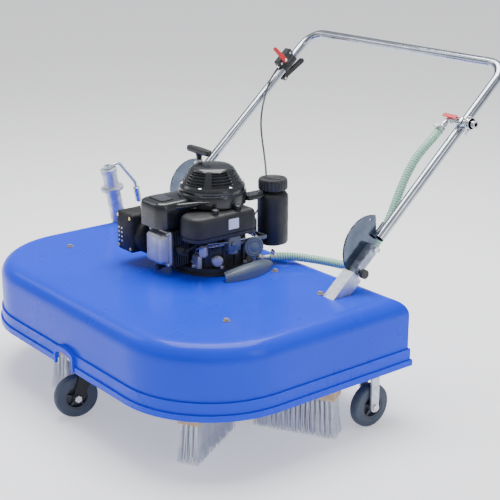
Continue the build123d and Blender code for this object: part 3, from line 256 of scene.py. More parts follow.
MATS = {
    "hood_blue": finish(
        "hood_blue", (0.005, 0.045, 0.80), 0.05, 3.0, (0.26, 0.34), 0.0, 60.0, 0.05, coat=0.14, shine=0.12
    ),
    "zinc_bolt": finish("zinc_bolt", (0.72, 0.60, 0.30), 0.15, 60.0, (0.25, 0.45), 0.85, 300.0, 0.2),
    "zinc": zinc_finish("zinc", (0.62, 0.66, 0.73), 70.0, (0.38, 0.58)),
    "plate_zinc": zinc_finish("plate_zinc", (0.36, 0.40, 0.47), 55.0, (0.35, 0.55)),
    "post_zinc": zinc_finish("post_zinc", (0.30, 0.34, 0.42), 60.0, (0.25, 0.45)),
    "chrome": finish("chrome", (0.62, 0.64, 0.68), 0.08, 14.0, (0.12, 0.24), 1.0, 500.0, 0.04),
    "bright_steel": finish("bright_steel", (0.62, 0.63, 0.66), 0.10, 30.0, (0.2, 0.4), 1.0, 400.0, 0.1),
    "gear_steel": finish("gear_steel", (0.34, 0.35, 0.37), 0.15, 25.0, (0.3, 0.5), 1.0, 300.0, 0.15),
    "cast_aluminium": finish(
        "cast_aluminium", (0.56, 0.57, 0.60), 0.12, 22.0, (0.38, 0.6), 0.8, 420.0, 0.5
    ),
    "carburettor_grey": finish(
        "carburettor_grey", (0.15, 0.17, 0.21), 0.2, 26.0, (0.35, 0.55), 0.8, 420.0, 0.45
    ),
    "dark_aluminium": finish(
        "dark_aluminium", (0.050, 0.055, 0.065), 0.3, 22.0, (0.4, 0.65), 0.5, 380.0, 0.5
    ),
    "engine_black": finish(
        "engine_black", (0.010, 0.012, 0.016), 0.3, 12.0, (0.18, 0.32), 0.0, 350.0, 0.10, coat=0.25
    ),
    "matt_black": finish("matt_black", (0.012, 0.013, 0.016), 0.3, 14.0, (0.42, 0.6), 0.0, 420.0, 0.3),
    "fork_black": finish("fork_black", (0.014, 0.015, 0.018), 0.25, 14.0, (0.25, 0.45), 0.3, 260.0, 0.15),
    "muffler_black": finish(
        "muffler_black", (0.016, 0.016, 0.018), 0.4, 20.0, (0.5, 0.75), 0.3, 320.0, 0.4
    ),
    "tyre_grey": finish("tyre_grey", (0.045, 0.062, 0.100), 0.18, 18.0, (0.5, 0.7), 0.0, 260.0, 0.35),
    "hub_grey": finish("hub_grey", (0.045, 0.055, 0.075), 0.2, 20.0, (0.3, 0.5), 0.0, 320.0, 0.2),
    "wood": wood_finish("wood"),
    "bristle": finish("bristle", (0.74, 0.78, 0.88), 0.10, 40.0, (0.35, 0.55), 0.0, 200.0, 0.1),
    "belt_rubber": finish("belt_rubber", (0.012, 0.012, 0.013), 0.3, 30.0, (0.6, 0.8), 0.0, 300.0, 0.3),
    "hose_clear": finish(
        "hose_clear", (0.42, 0.70, 0.54), 0.08, 10.0, (0.26, 0.38), 0.0, 120.0, 0.08, coat=0.2
    ),
    "hose_rib": finish("hose_rib", (0.10, 0.33, 0.21), 0.10, 10.0, (0.3, 0.42), 0.0, 120.0, 0.08),
    "handle_zinc": handle_finish("handle_zinc"),
    "lever_red": finish("lever_red", (0.62, 0.02, 0.025), 0.12, 20.0, (0.3, 0.42), 0.0, 300.0, 0.15),
    "knob_black": finish("knob_black", (0.020, 0.021, 0.024), 0.25, 20.0, (0.35, 0.5), 0.0, 360.0, 0.2),
    "shield_grey": finish("shield_grey", (0.11, 0.14, 0.19), 0.15, 16.0, (0.35, 0.5), 0.0, 300.0, 0.25),
    "cable_black": finish("cable_black", (0.015, 0.016, 0.02), 0.25, 30.0, (0.35, 0.5), 0.0, 300.0, 0.15),
}
NODE_FINISHES = {"handle": "handle_zinc", "pivot_posts": "post_zinc"}
slots = {entry["node"]: entry["material_slot"] for entry in frame["record"]["subparts"]}
for node_name, node in frame["nodes"].items():
    node.data.materials.clear()
    node.data.materials.append(MATS[NODE_FINISHES.get(node_name, slots[node_name])])


# ------------------------------------------------------------------ cords
def nurbs(name, points, radius, resolution=6):
    """A smooth round cord through route points, as a curve."""
    curve = bpy.data.curves.new(name, "CURVE")
    curve.dimensions = "3D"
    spline = curve.splines.new("NURBS")
    spline.points.add(len(points) - 1)
    for point, spot in zip(spline.points, points):
        point.co = (*spot, 1)
    spline.order_u = 3
    spline.use_endpoint_u = True
    curve.resolution_u = resolution
    curve.bevel_depth = radius
    curve.bevel_resolution = 4
    obj = bpy.data.objects.new(name, curve)
    scene.collection.objects.link(obj)
    return obj


def centre_line(name, points, resolution=8):
    """The points along the smooth curve of a route."""
    obj = nurbs(name, points, 0, resolution)
    mesh = bpy.data.meshes.new_from_object(obj)
    line = [v.co.copy() for v in mesh.vertices]
    bpy.data.objects.remove(obj)
    return line


# mesh helpers
def link(name, mesh, material, body, smooth=True):
    """A mesh object with its material that rides on a body."""
    obj = bpy.data.objects.new(name, mesh)
    scene.collection.objects.link(obj)
    mesh.materials.append(MATS[material])
    if smooth:
        for polygon in mesh.polygons:
            polygon.use_smooth = True
    if body:
        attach(obj, body)
    return obj


def frames_along(line):
    """Steady cross directions at each point of a line."""
    tangents = [(b - a).normalized() for a, b in zip(line, line[1:])]
    tangents.append(tangents[-1])
    side = tangents[0].orthogonal().normalized()
    result = []
    for spot, tangent in zip(line, tangents):
        side = (side - tangent * side.dot(tangent)).normalized()
        result.append((spot, side, tangent.cross(side)))
    return result


def tube_mesh(name, line, radii, around=20, capped=True):
    """A tube along a line with a radius for each point."""
    bm = bmesh.new()
    rings = []
    for (spot, side, other), radius in zip(frames_along(line), radii):
        ring = []
        for step in range(around):
            angle = 2 * math.pi * step / around
            ring.append(bm.verts.new(spot + (side * math.cos(angle) + other * math.sin(angle)) * radius))
        rings.append(ring)
    for first, second in zip(rings, rings[1:]):
        for step in range(around):
            following = (step + 1) % around
            bm.faces.new((first[step], first[following], second[following], second[step]))
    if capped:
        bm.faces.new(rings[0][::-1])
        bm.faces.new(rings[-1])
    mesh = bpy.data.meshes.new(name)
    bm.normal_update()
    bm.to_mesh(mesh)
    bm.free()
    return mesh


BARB_TURN = math.radians(63)
BARB = Vector((math.cos(BARB_TURN), math.sin(BARB_TURN), 0))
TAIL_TILT = math.radians(38)
TAIL = Vector((0, -math.cos(TAIL_TILT), -math.sin(TAIL_TILT)))
barb_end = place(100, 231, 380) + BARB * 0.030
tail_end = on_handle(397, 455.4, 27) + TAIL * 0.034
hose_route = [barb_end, barb_end + BARB * 0.040]
hose_route += [
    place(*spot)
    for spot in (
        (163, 332, 377),
        (210, 360, 375),
        (260, 373, 377),
        (310, 376, 381),
        (360, 379, 393),
        (392, 390, 424),
        (400, 421, 473),
        (402, 450, 512),
        (394, 484, 556),
        (387, 518, 608),
        (384, 549, 652),
        (388, 580, 694),
    )
]
hose_route += [tail_end + TAIL * 0.055, tail_end]
cable_gap = 22
cable_route = [
    on_handle(-428, 516.5, cable_gap + 2),
    on_handle(-426, 480, cable_gap),
    on_handle(-418, 436, cable_gap - 4),
]
cable_route += [
    place(*spot)
    for spot in (
        (-390, 640, 716),
        (-350, 600, 694),
        (-304, 560, 675),
        (-254, 521, 657),
        (-202, 484, 638),
        (-150, 449, 614),
        (-101, 416, 584),
        (-58, 384, 551),
        (-26, 347, 517),
        (-8, 311, 483),
        (-4, 274.6, 465),
    )
]


def tube_piece(name, line, radii, material, blended=None, around=20, nodes=()):
    """A tube shown in place of a CAD node, running between the two bodies it joins; it is attached to
    neither body and does not bend.
    """
    mesh = tube_mesh(name, line, radii, around)
    obj = link(name, mesh, material, None)
    if blended:
        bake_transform(obj)
    for node_name in nodes:
        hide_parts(node_name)
    return obj


def resample(line, step):
    """The same line with points a steady step apart."""
    result = [line[0]]
    carried = 0.0
    for a, b in zip(line, line[1:]):
        run = (b - a).length
        reach = step - carried
        while reach < run:
            result.append(a.lerp(b, reach / run))
            reach += step
        carried = run - (reach - step)
    result.append(line[-1])
    return result


HOSE_RADIUS = 0.0125
CABLE_RADIUS = 0.003
RIB_PITCH = 0.0076
LEAVES_PIVOT = place(330, 377, 385)
NEAR_HANDLE = place(392, 390, 424)

hose_line = resample(centre_line("hose_line", hose_route, 24), RIB_PITCH / 4)
wave = (0.985, 0.955, 0.925, 0.955)
hose_radii = [HOSE_RADIUS * wave[step % 4] for step in range(len(hose_line))]
hose = tube_piece(
    "water_hose_ribbed",
    hose_line,
    hose_radii,
    "hose_clear",
    ("chassis", "handle_frame", LEAVES_PIVOT, NEAR_HANDLE),
    24,
    ("water_hose",),
)
spiral = []
for step, (spot, side, other) in enumerate(frames_along(resample(hose_line, RIB_PITCH / 14))):
    angle = 2 * math.pi * step / 14
    spiral.append(spot + (side * math.cos(angle) + other * math.sin(angle)) * (HOSE_RADIUS - 0.0007))
hose_rib = tube_piece(
    "water_hose_spiral",
    spiral,
    [0.0011] * len(spiral),
    "hose_rib",
    ("chassis", "handle_frame", LEAVES_PIVOT, NEAR_HANDLE),
    6,
)
cable_line = resample(centre_line("cable_line", cable_route, 24), 0.006)
cable = tube_piece(
    "throttle_cable_run",
    cable_line,
    [CABLE_RADIUS] * len(cable_line),
    "cable_black",
    ("chassis", "handle_frame", place(-30, 350, 520), place(-300, 560, 675)),
    12,
    ("throttle_cable",),
)


# ------------------------------------------------------------------ shape helpers
def piece(name, bm, material, body, nodes=(), bevel=0.0, segments=3, sharp=38):
    """Finishes a bmesh as an object that rides on a body and may stand for CAD nodes."""
    bmesh.ops.recalc_face_normals(bm, faces=bm.faces)
    mesh = bpy.data.meshes.new(name)
    bm.to_mesh(mesh)
    bm.free()
    obj = link(name, mesh, material, body)
    mesh.set_sharp_from_angle(angle=math.radians(sharp))
    if bevel:
        modifier = obj.modifiers.new("bevel", "BEVEL")
        modifier.width = bevel
        modifier.segments = segments
        modifier.limit_method = "ANGLE"
        modifier.angle_limit = math.radians(35)
        modifier.harden_normals = True
    for node_name in nodes:
        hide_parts(node_name)
    return obj


def loft(bm, rings, capped=True, closed=False):
    """Skins rings of points in order."""
    rows = [[bm.verts.new(spot) for spot in ring] for ring in rings]
    pairs = list(zip(rows, rows[1:]))
    if closed:
        pairs.append((rows[-1], rows[0]))
    count = len(rows[0])
    for first, second in pairs:
        for step in range(count):
            following = (step + 1) % count
            bm.faces.new((first[step], first[following], second[following], second[step]))
    if capped and not closed:
        bm.faces.new(rows[0][::-1])
        bm.faces.new(rows[-1])


def basis(axis, toward=None):
    """Two cross directions for an axis."""
    axis = Vector(axis).normalized()
    side = Vector(toward) if toward else axis.orthogonal()
    side = (side - axis * side.dot(axis)).normalized()
    return axis, side, axis.cross(side)


def turned(bm, profile, origin, axis, around=48, shape=None, toward=None, closed=False):
    """Turns (radius, height) pairs in millimetres about an axis; shape may change the radius by angle."""
    axis, side, other = basis(axis, toward)
    rings = []
    for radius, height in profile:
        ring = []
        for step in range(around):
            angle = 2 * math.pi * step / around
            reach = radius if shape is None else shape(radius, height, angle)
            spot = side * math.cos(angle) + other * math.sin(angle)
            ring.append(Vector(origin) + spot * (reach / 1000) + axis * (height / 1000))
        rings.append(ring)
    loft(bm, rings, True, closed)


def rounded(width, depth, radii, steps=6):
    """Outline of a rectangle about its middle with four corner radii, from the first quadrant round."""
    corners = ((1, 1), (-1, 1), (-1, -1), (1, -1))
    outline = []
    for index, ((sx, sy), radius) in enumerate(zip(corners, radii)):
        for step in range(steps + 1):
            angle = math.pi / 2 * (index + step / steps)
            outline.append(
                (
                    sx * (width / 2 - radius) + radius * math.cos(angle),
                    sy * (depth / 2 - radius) + radius * math.sin(angle),
                )
            )
    return outline


def layers(bm, width, depth, radii, steps, middle, axis, toward):
    """Stacks rounded outlines along an axis; each step is (height, inset) in millimetres."""
    axis, side, other = basis(axis, toward)
    rings = []
    for height, inset in steps:
        shrunk = [max(radius - inset, 0.6) for radius in radii]
        ring = [
            Vector(middle) + (side * u + other * v) / 1000 + axis * (height / 1000)
            for u, v in rounded(width - 2 * inset, depth - 2 * inset, shrunk)
        ]
        rings.append(ring)
    loft(bm, rings)


def rod(bm, points, radius, around=12):
    """A round bar through points in metres."""
    rings = []
    for spot, side, other in frames_along(points):
        ring = []
        for step in range(around):
            angle = 2 * math.pi * step / around
            ring.append(spot + (side * math.cos(angle) + other * math.sin(angle)) * (radius / 1000))
        rings.append(ring)
    loft(bm, rings)


def hexagon(bm, middle, axis, across, height):
    """A hexagon head with chamfered corners."""
    turned(
        bm,
        ((across * 0.52, 0), (across * 0.577, 0.8), (across * 0.577, height - 1), (across * 0.5, height)),
        middle,
        axis,
        6,
    )


UP = Vector((0, 0, 1))
FORWARD = Vector((0, -1, 0))
LEFT = Vector((1, 0, 0))
AXIS = place(0, 133, 0)


# ------------------------------------------------------------------ engine
def recoil_dome():
    """The recoil starter's cover with six louvred panels."""
    profile = [(96, 588), (96.5, 590), (96.5, 597), (95, 601), (91, 605)]
    profile += [(89 - 24 * step / 36, 608 + 40 * step / 36) for step in range(37)]
    profile += [(61, 652), (56, 655.5), (48, 657.5), (30, 659), (0.5, 659.6)]

    def panel(radius, height, angle):
        """Changes the radius by height and angle for this piece."""
        near = (math.degrees(angle) + 90) % 60 - 30
        if abs(near) > 20 or not 610 < height < 648:
            return radius
        return radius - (7 if (height - 611) % 7.6 > 3.2 else 1.2)

    bm = bmesh.new()
    turned(bm, profile, AXIS, UP, 144, panel)
    piece("recoil_dome", bm, "engine_black", "chassis", ("recoil_cover",), sharp=30)
    bm = bmesh.new()
    for step in range(6):
        angle = math.radians(60 * step)
        spot = AXIS + Vector((math.cos(angle), math.sin(angle), 0)) * 0.0875 + UP * 0.6065
        turned(bm, ((6.5, 0), (6.5, 2), (4, 3.5), (0.3, 3.6)), spot, UP, 20)
    turned(bm, ((11, 640), (11, 655), (9, 659), (5, 660)), place(-72, 140, 0), UP, 24)
    piece("recoil_screws", bm, "bright_steel", "chassis")


def starter():
    """The starter's T-grip and rope."""
    grip = place(-72, 140, 685)
    bm = bmesh.new()
    axis, side, other = basis(LEFT, UP)
    rings = []
    for step in range(25):
        x = -52 + 104 * step / 24
        end = min(1.0, (52 - abs(x)) / 6)
        swell = (0.55 + 0.45 * math.sqrt(max(0.0, 1 - (1 - end) ** 2))) * (
            1 + 0.05 * math.cos(x / 52 * math.pi)
        )
        ring = [
            grip + LEFT * (x / 1000) + side * (v * swell / 1000) + other * (u * swell / 1000)
            for u, v in rounded(22, 19, (7, 7, 7, 7), 4)
        ]
        rings.append(ring)
    loft(bm, rings)
    turned(bm, ((8, -24), (9, -16), (11, -9), (13, -5)), grip, UP, 24)
    piece("starter_grip_bar", bm, "knob_black", "starter_grip", ("starter_grip",))
    rope = [place(-72, 140, 640 + 26 * step / 30) for step in range(31)]
    tube_piece(
        "starter_rope",
        rope,
        [0.0025] * len(rope),
        "knob_black",
        ("chassis", "starter_grip", place(-72, 140, 641), place(-72, 140, 664)),
        10,
    )


def shroud():
    """The fan shroud: a round housing that runs forward over the cylinder."""
    bm = bmesh.new()
    turned(
        bm,
        (
            (97, 552), (100, 550), (100.5, 560), (100.5, 578), (99, 584), (95, 588), (88, 590),
            (78, 590), (78, 586),
        ),
        AXIS,
        UP,
        96,
    )
    layers(
        bm,
        118,
        203,
        (8, 8, 30, 30),
        ((500, 3), (502, 0), (520, 0), (552, 0.6), (563, 2.2), (570, 5), (574, 10), (576, 18)),
        place(-35, 31.5, 0),
        UP,
        LEFT,
    )
    layers(
        bm, 44, 78, (8, 8, 8, 8), ((555, 1), (557, 0), (566, 0), (569, 3)), place(64, 240, 0), UP, LEFT
    )
    piece("shroud_body", bm, "engine_black", "chassis", ("fan_shroud",), sharp=45)
    bm = bmesh.new()
    layers(bm, 70, 44, (8, 8, 8, 8), ((574, 2), (577, 0), (578.5, 0.6)), place(-38, -22, 0), UP, LEFT)
    piece("shroud_badge_blank", bm, "dark_aluminium", "chassis")
    bm = bmesh.new()
    swoosh = []
    for step in range(29):
        share = step / 28
        angle = math.radians(-112 + 92 * share)
        reach = 0.1005 + 0.055 * (1 - share) ** 2
        out = place(-2, 116, 0) + Vector((math.cos(angle) * 0.72, math.sin(angle), 0)) * reach - AXIS
        out *= max(1.0, RIDGE_CLEAR / out.length)
        swoosh.append(AXIS + out + UP * (0.551 + 0.022 * share))
    rings = []
    for (spot, side, other), share in zip(frames_along(swoosh), [s / 28 for s in range(29)]):
        width = 0.0085 * math.sin(math.pi * min(1.0, 0.08 + share * 0.92)) + 0.0012
        ring = [
            spot
            + side * math.cos(2 * math.pi * k / 12) * width
            + other * math.sin(2 * math.pi * k / 12) * width
            for k in range(12)
        ]
        rings.append(ring)
    loft(bm, rings)
    piece("shroud_ridge", bm, "engine_black", "chassis")


def air_cleaner():
    """The air cleaner's long rounded case with two cover knobs."""
    bm = bmesh.new()
    middle = place(81, 88, 0)
    layers(
        bm,
        98,
        224,
        (18, 18, 40, 40),
        (
            (474, 4), (475, 2), (485, 1.5), (486, 3.5), (488, 3.5), (489, 0), (528, 1), (538, 3.5),
            (543, 8), (546, 16),
        ),
        middle,
        UP,
        LEFT,
    )
    piece("air_cleaner_case", bm, "matt_black", "chassis", ("air_cleaner",), sharp=50)
    bm = bmesh.new()
    for x, y in ((110, 62), (113, 140)):
        turned(
            bm,
            ((9, 541), (9, 547), (6, 549), (6, 551), (9, 552), (9.5, 559), (7, 561), (0.3, 561.5)),
            place(x, y, 0),
            UP,
            24,
        )
        layers(
            bm,
            26,
            6,
            (3, 3, 3, 3),
            ((550, 0.5), (551, 0), (558, 0), (559.5, 1)),
            place(x, y, 0),
            UP,
            (1, 0.35, 0),
        )
    piece("air_cleaner_knobs", bm, "knob_black", "chassis")
    bm = bmesh.new()
    layers(bm, 36, 30, (1.5, 1.5, 1.5, 1.5), ((0, 0), (0.8, 0)), place(129.6, 112, 514), LEFT, (0, 1, 0))
    piece("air_cleaner_plate_blank", bm, "bristle", "chassis")


def valve_cover():
    """The cast rocker cover with its flange, ribs and screws."""
    bm = bmesh.new()
    middle = place(-22, -30, 438)
    layers(bm, 104, 96, (12, 12, 12, 12), ((0, 0), (6.5, 0), (8, 1.5)), middle, FORWARD, UP)
    layers(
        bm,
        94,
        82,
        (16, 16, 16, 16),
        ((7, 0), (18, 1.2), (27, 3), (31, 6), (33.2, 10), (34, 16)),
        middle,
        FORWARD,
        UP,
    )
    piece("valve_cover_casting", bm, "cast_aluminium", "chassis", ("valve_cover",), sharp=45)
    bm = bmesh.new()
    for sx in (-1, 1):
        for sz in (-1, 1):
            spot = middle + LEFT * (sx * 0.0415) + UP * (sz * 0.0455) + FORWARD * 0.008
            turned(bm, ((6.5, 0), (6.5, 2), (0.3, 2)), spot, FORWARD, 20)
            hexagon(bm, spot + FORWARD * 0.002, FORWARD, 9, 4.5)
    piece("valve_cover_screws", bm, "bright_steel", "chassis")
    bm = bmesh.new()
    for side_x in (-1, 1):
        layers(
            bm,
            70,
            3.5,
            (1.7, 1.7, 1.7, 1.7),
            ((27, 0), (32.5, 0), (34, 1)),
            middle + LEFT * (side_x * 0.022),
            FORWARD,
            UP,
        )
    piece("valve_cover_ribs", bm, "cast_aluminium", "chassis")


def muffler():
    """The muffler's guard box with its vents and the drum beside it."""
    bm = bmesh.new()
    middle = place(-149, -17, 459)
    layers(
        bm,
        118,
        82,
        (12, 12, 12, 12),
        ((-61, 4), (-60, 1.5), (-57, 0), (54, 0), (58, 1.5), (61, 5)),
        middle,
        FORWARD,
        UP,
    )
    piece("muffler_guard", bm, "muffler_black", "chassis", ("muffler",), sharp=45)
    bm = bmesh.new()
    turned(
        bm, ((50, 0), (50, 16), (48, 22), (43, 26), (30, 28), (0.4, 29)), place(-110, -22, 446), LEFT, 64
    )
    turned(bm, ((14, 22), (14, 36)), place(-110, -10, 438), LEFT, 32)
    piece("muffler_drum", bm, "muffler_black", "chassis")
    bm = bmesh.new()
    for column in range(2):
        for row in range(4):
            spot = place(-178 + 15 * column, -77.5, 428 + 13 * row)
            layers(bm, 6, 7, (1.2, 1.2, 1.2, 1.2), ((0, 0), (1.1, 0), (1.3, 0.6)), spot, FORWARD, UP)
    piece("muffler_vents", bm, "bright_steel", "chassis")
    bm = bmesh.new()
    for x, z in ((-180, 505), (-118, 505), (-180, 412), (-118, 412)):
        hexagon(bm, place(x, -77.5, z), FORWARD, 9, 3.2)
    piece("muffler_screws", bm, "zinc_bolt", "chassis")


def fuel_tank():
    """The bottle-shaped tank with a moulded seam, and its ribbed cap."""
    bm = bmesh.new()

    def squarish(radius, height, angle):
        """Changes the radius by angle for this piece."""
        if radius < 36:
            return radius
        return radius * (1 - 0.035 * abs(math.sin(2 * angle)) ** 3)

    turned(
        bm,
        (
            (38, 408),
            (43, 410),
            (46, 416),
            (46, 470),
            (46.3, 486),
            (46, 500),
            (46, 548),
            (45, 557),
            (40, 564),
            (32, 568),
            (30, 570),
            (30, 580),
        ),
        place(75, 300, 0),
        UP,
        72,
        squarish,
    )
    piece("fuel_tank_bottle", bm, "matt_black", "chassis", ("fuel_tank",), sharp=50)
    bm = bmesh.new()

    def ribbed(radius, height, angle):
        """Ribs the middle of the cap."""
        if 577 < height < 600:
            return radius + 1.1 * (1 if math.sin(24 * angle) > 0 else -0.6)
        return radius

    turned(
        bm,
        (
            (39, 574), (42.6, 575), (42.6, 578), (42.6, 598), (42.6, 602), (41, 605.5), (36, 606.7),
            (30, 606), (28, 604.5), (0.4, 604.5),
        ),
        place(75, 300, 0),
        UP,
        192,
        ribbed,
    )
    layers(
        bm, 54, 9, (4, 4, 4, 4), ((603, 0), (606, 0.3), (606.8, 1.4)), place(75, 300, 0), UP, (1, 0.4, 0)
    )
    piece("fuel_cap_ribbed", bm, "knob_black", "fuel_cap", ("fuel_cap",), sharp=30)
    bm = bmesh.new()
    hose_points = [
        place(70, 262, 414),
        place(66, 248, 404),
        place(86, 226, 414),
        place(104, 196, 432),
        place(110, 166, 438),
    ]
    rod(bm, hose_points, 3.6, 14)
    piece("fuel_line", bm, "belt_rubber", "chassis")


def engine_trim():
    """Small parts round the crankcase: screws, governor rods, breather, plug lead and castings."""
    bm = bmesh.new()
    for step in range(8):
        angle = math.radians(22.5 + 45 * step)
        spot = AXIS + Vector((math.cos(angle), math.sin(angle), 0)) * 0.108 + UP * 0.377
        turned(bm, ((8, 0), (8, 1.5), (0.3, 1.5)), spot, UP, 20)
        hexagon(bm, spot + UP * 0.0015, UP, 11, 6)
    for x, y, z in ((30, 40, 392), (52, 52, 420), (80, 76, 404), (-64, 52, 396)):
        spot = place(x, y, z)
        turned(bm, ((7, 0), (7, 3), (5, 5), (0.3, 5.4)), spot, FORWARD, 20)
        hexagon(bm, spot + FORWARD * 0.004, FORWARD, 8, 4)
    piece("engine_screws", bm, "bright_steel", "chassis")
    bm = bmesh.new()
    layers(bm, 46, 34, (9, 9, 9, 9), ((0, 0), (9, 0), (13, 3)), place(48, 46, 392), FORWARD, UP)
    layers(bm, 36, 24, (8, 8, 8, 8), ((0, 0), (12, 0), (15, 3)), place(64, 56, 428), (0.5, -1, 0), UP)
    turned(bm, ((17, 0), (17, 9), (13, 13), (0.4, 14)), place(88, 84, 398), (0.85, -0.6, 0), 36)
    piece("crankcase_castings", bm, "cast_aluminium", "chassis")
    bm = bmesh.new()
    rod(bm, [place(40, 36, 408), place(62, 30, 438), place(92, 66, 444), place(104, 104, 446)], 1.6)
    rod(bm, [place(52, 40, 420), place(84, 56, 452), place(118, 96, 458)], 1.4)
    rod(bm, [place(118, 96, 458), place(124, 150, 460), place(112, 214, 452), place(40, 244, 452)], 1.6)
    coil = []
    for step in range(241):
        share = step / 240
        angle = 2 * math.pi * 15 * share
        middle = place(70, 52, 440).lerp(place(112, 92, 452), share)
        coil.append(
            middle + Vector((math.cos(angle) * 0.7, -math.cos(angle) * 0.7, math.sin(angle))) * 0.0038
        )
    rod(bm, coil, 0.7, 8)
    piece("governor_links", bm, "bright_steel", "chassis")
    bm = bmesh.new()
    rod(
        bm,
        [
            place(66, -16, 438),
            place(84, -22, 446),
            place(92, 6, 462),
            place(60, 30, 486),
            place(30, 52, 500),
        ],
        3.4,
        14,
    )
    layers(bm, 24, 22, (8, 8, 8, 8), ((44, 1), (46, 0), (70, 0), (72, 2)), place(0, -16, 438), LEFT, UP)
    rod(bm, [place(86, 104, 470), place(94, 92, 452), place(84, 74, 430)], 6, 16)
    piece("plug_lead", bm, "belt_rubber", "chassis")
    bm = bmesh.new()
    for height in (436, 450, 464):
        turned(bm, ((95, height - 2), (98, height - 1), (98, height + 1), (95, height + 2)), AXIS, UP, 96)
    for step in range(14):
        angle = math.radians(-150 + 22 * step)
        outward = Vector((math.cos(angle), math.sin(angle), 0))
        layers(
            bm,
            4,
            10,
            (1, 1, 1, 1),
            ((378, 0), (432, 0), (436, 1)),
            AXIS + outward * 0.097,
            UP,
            outward.cross(UP),
        )
    piece("crankcase_ribs", bm, "dark_aluminium", "chassis")
    bm = bmesh.new()
    turned(bm, ((12, 371), (15, 380), (15, 440), (11, 446)), place(-88, 62, 0), UP, 32)
    turned(
        bm,
        ((18, 444), (18, 456), (15, 460), (0.4, 460)),
        place(-88, 62, 0),
        UP,
        32,
        lambda r,
        h,
        a: r + (1.2 * math.cos(12 * a) if h < 458 else 0),
    )
    piece("oil_filler", bm, "matt_black", "chassis")


def carburettor():
    """The carburettor with its float bowl, and the throttle plate with the link to it."""
    bm = bmesh.new()
    layers(
        bm,
        44,
        30,
        (6, 6, 6, 6),
        ((430, 1), (432, 0), (466, 0), (472, 3)),
        place(112, 120, 0),
        UP,
        (0, 1, 0),
    )
    turned(bm, ((4, 417), (12, 419), (15.5, 422), (15.5, 433)), place(112, 120, 0), UP, 36)
    turned(bm, ((13, 78), (13, 100)), place(0, 120, 446), LEFT, 32)
    turned(bm, ((8, 126), (8, 131), (5, 133), (0.3, 133)), place(0, 112, 452), LEFT, 24)
    layers(
        bm,
        60,
        70,
        (10, 10, 10, 10),
        ((0, 0.5), (0.5, 0), (3.5, 0), (4, 0.5)),
        place(0, 272, 450),
        FORWARD,
        UP,
    )
    layers(bm, 6, 20, (2, 2, 2, 2), ((0, 0), (40, 0)), place(0, 228, 446), (0, 1, 0), UP)
    layers(bm, 12, 6, (2, 2, 2, 2), ((2, 0), (114, 0)), place(0, 243, 446), LEFT, UP)
    layers(bm, 12, 8, (2, 2, 2, 2), ((142, 0), (244, 0)), place(112, 0, 446), (0, 1, 0), UP)
    piece("carburettor_casting", bm, "carburettor_grey", "chassis", ("carburettor",), sharp=45)
    bm = bmesh.new()
    for x, z in ((-22, 476), (22, 476), (-22, 424), (22, 424)):
        hexagon(bm, place(x, 268, z), FORWARD, 8, 4)
    turned(bm, ((5.5, 0), (5.5, 7), (3, 9), (0.3, 9)), place(-4, 272, 465), (0, 1, 0), 24)
    piece("throttle_plate_screws", bm, "bright_steel", "chassis")


def shield():
    """The grey deflector on the engine's left with its ribbed disc."""
    bm = bmesh.new()
    rings = []
    for step in range(49):
        angle = math.radians(-25 + 65 * step / 48)
        outward = Vector((math.cos(angle), math.sin(angle), 0))
        ends = math.sin(math.pi * min(1, max(0, 0.06 + 0.88 * step / 48)))
        tall = 0.36 + 0.64 * ends ** 0.6
        section = (
            (176.5, 357.3), (180.8, 357.3), (180.8, HOOD_TOP + 20 * tall), (178, HOOD_TOP + 31 * tall)
        )
        section += (
            (170, HOOD_TOP + 36 * tall), (154, HOOD_TOP + 38 * tall), (154, HOOD_TOP + 35.5 * tall),
            (169, HOOD_TOP + 33 * tall),
        )
        section += ((175, HOOD_TOP + 29 * tall), (176.5, HOOD_TOP + 20 * tall))
        rings.append([AXIS + outward * (r / 1000) + UP * (z / 1000) for r, z in section])
    loft(bm, rings)
    piece("deflector", bm, "shield_grey", "chassis", ("engine_shield",), sharp=50)
    bm = bmesh.new()
    turned(
        bm,
        ((30, -2), (30, 3), (26, 5), (24, 3.5), (20, 5.5), (16, 4), (12, 6), (0.4, 6.5)),
        place(128, 186, 430),
        (1, -0.25, 0.1),
        60,
        lambda r, h, a: r * (1 + (0.03 * math.cos(20 * a) if r > 22 else 0)),
    )
    piece("governor_disc", bm, "shield_grey", "chassis")


# ------------------------------------------------------------------ wheels and brushes
WHEELS = {
    "left_wheel": (547.0, 260.0, 0.0),
    "right_wheel": (-547.0, 260.0, 0.0),
    "front_wheel": (-32 * math.sin(math.radians(15)), -315 - 32 * math.cos(math.radians(15)), 15.0),
}


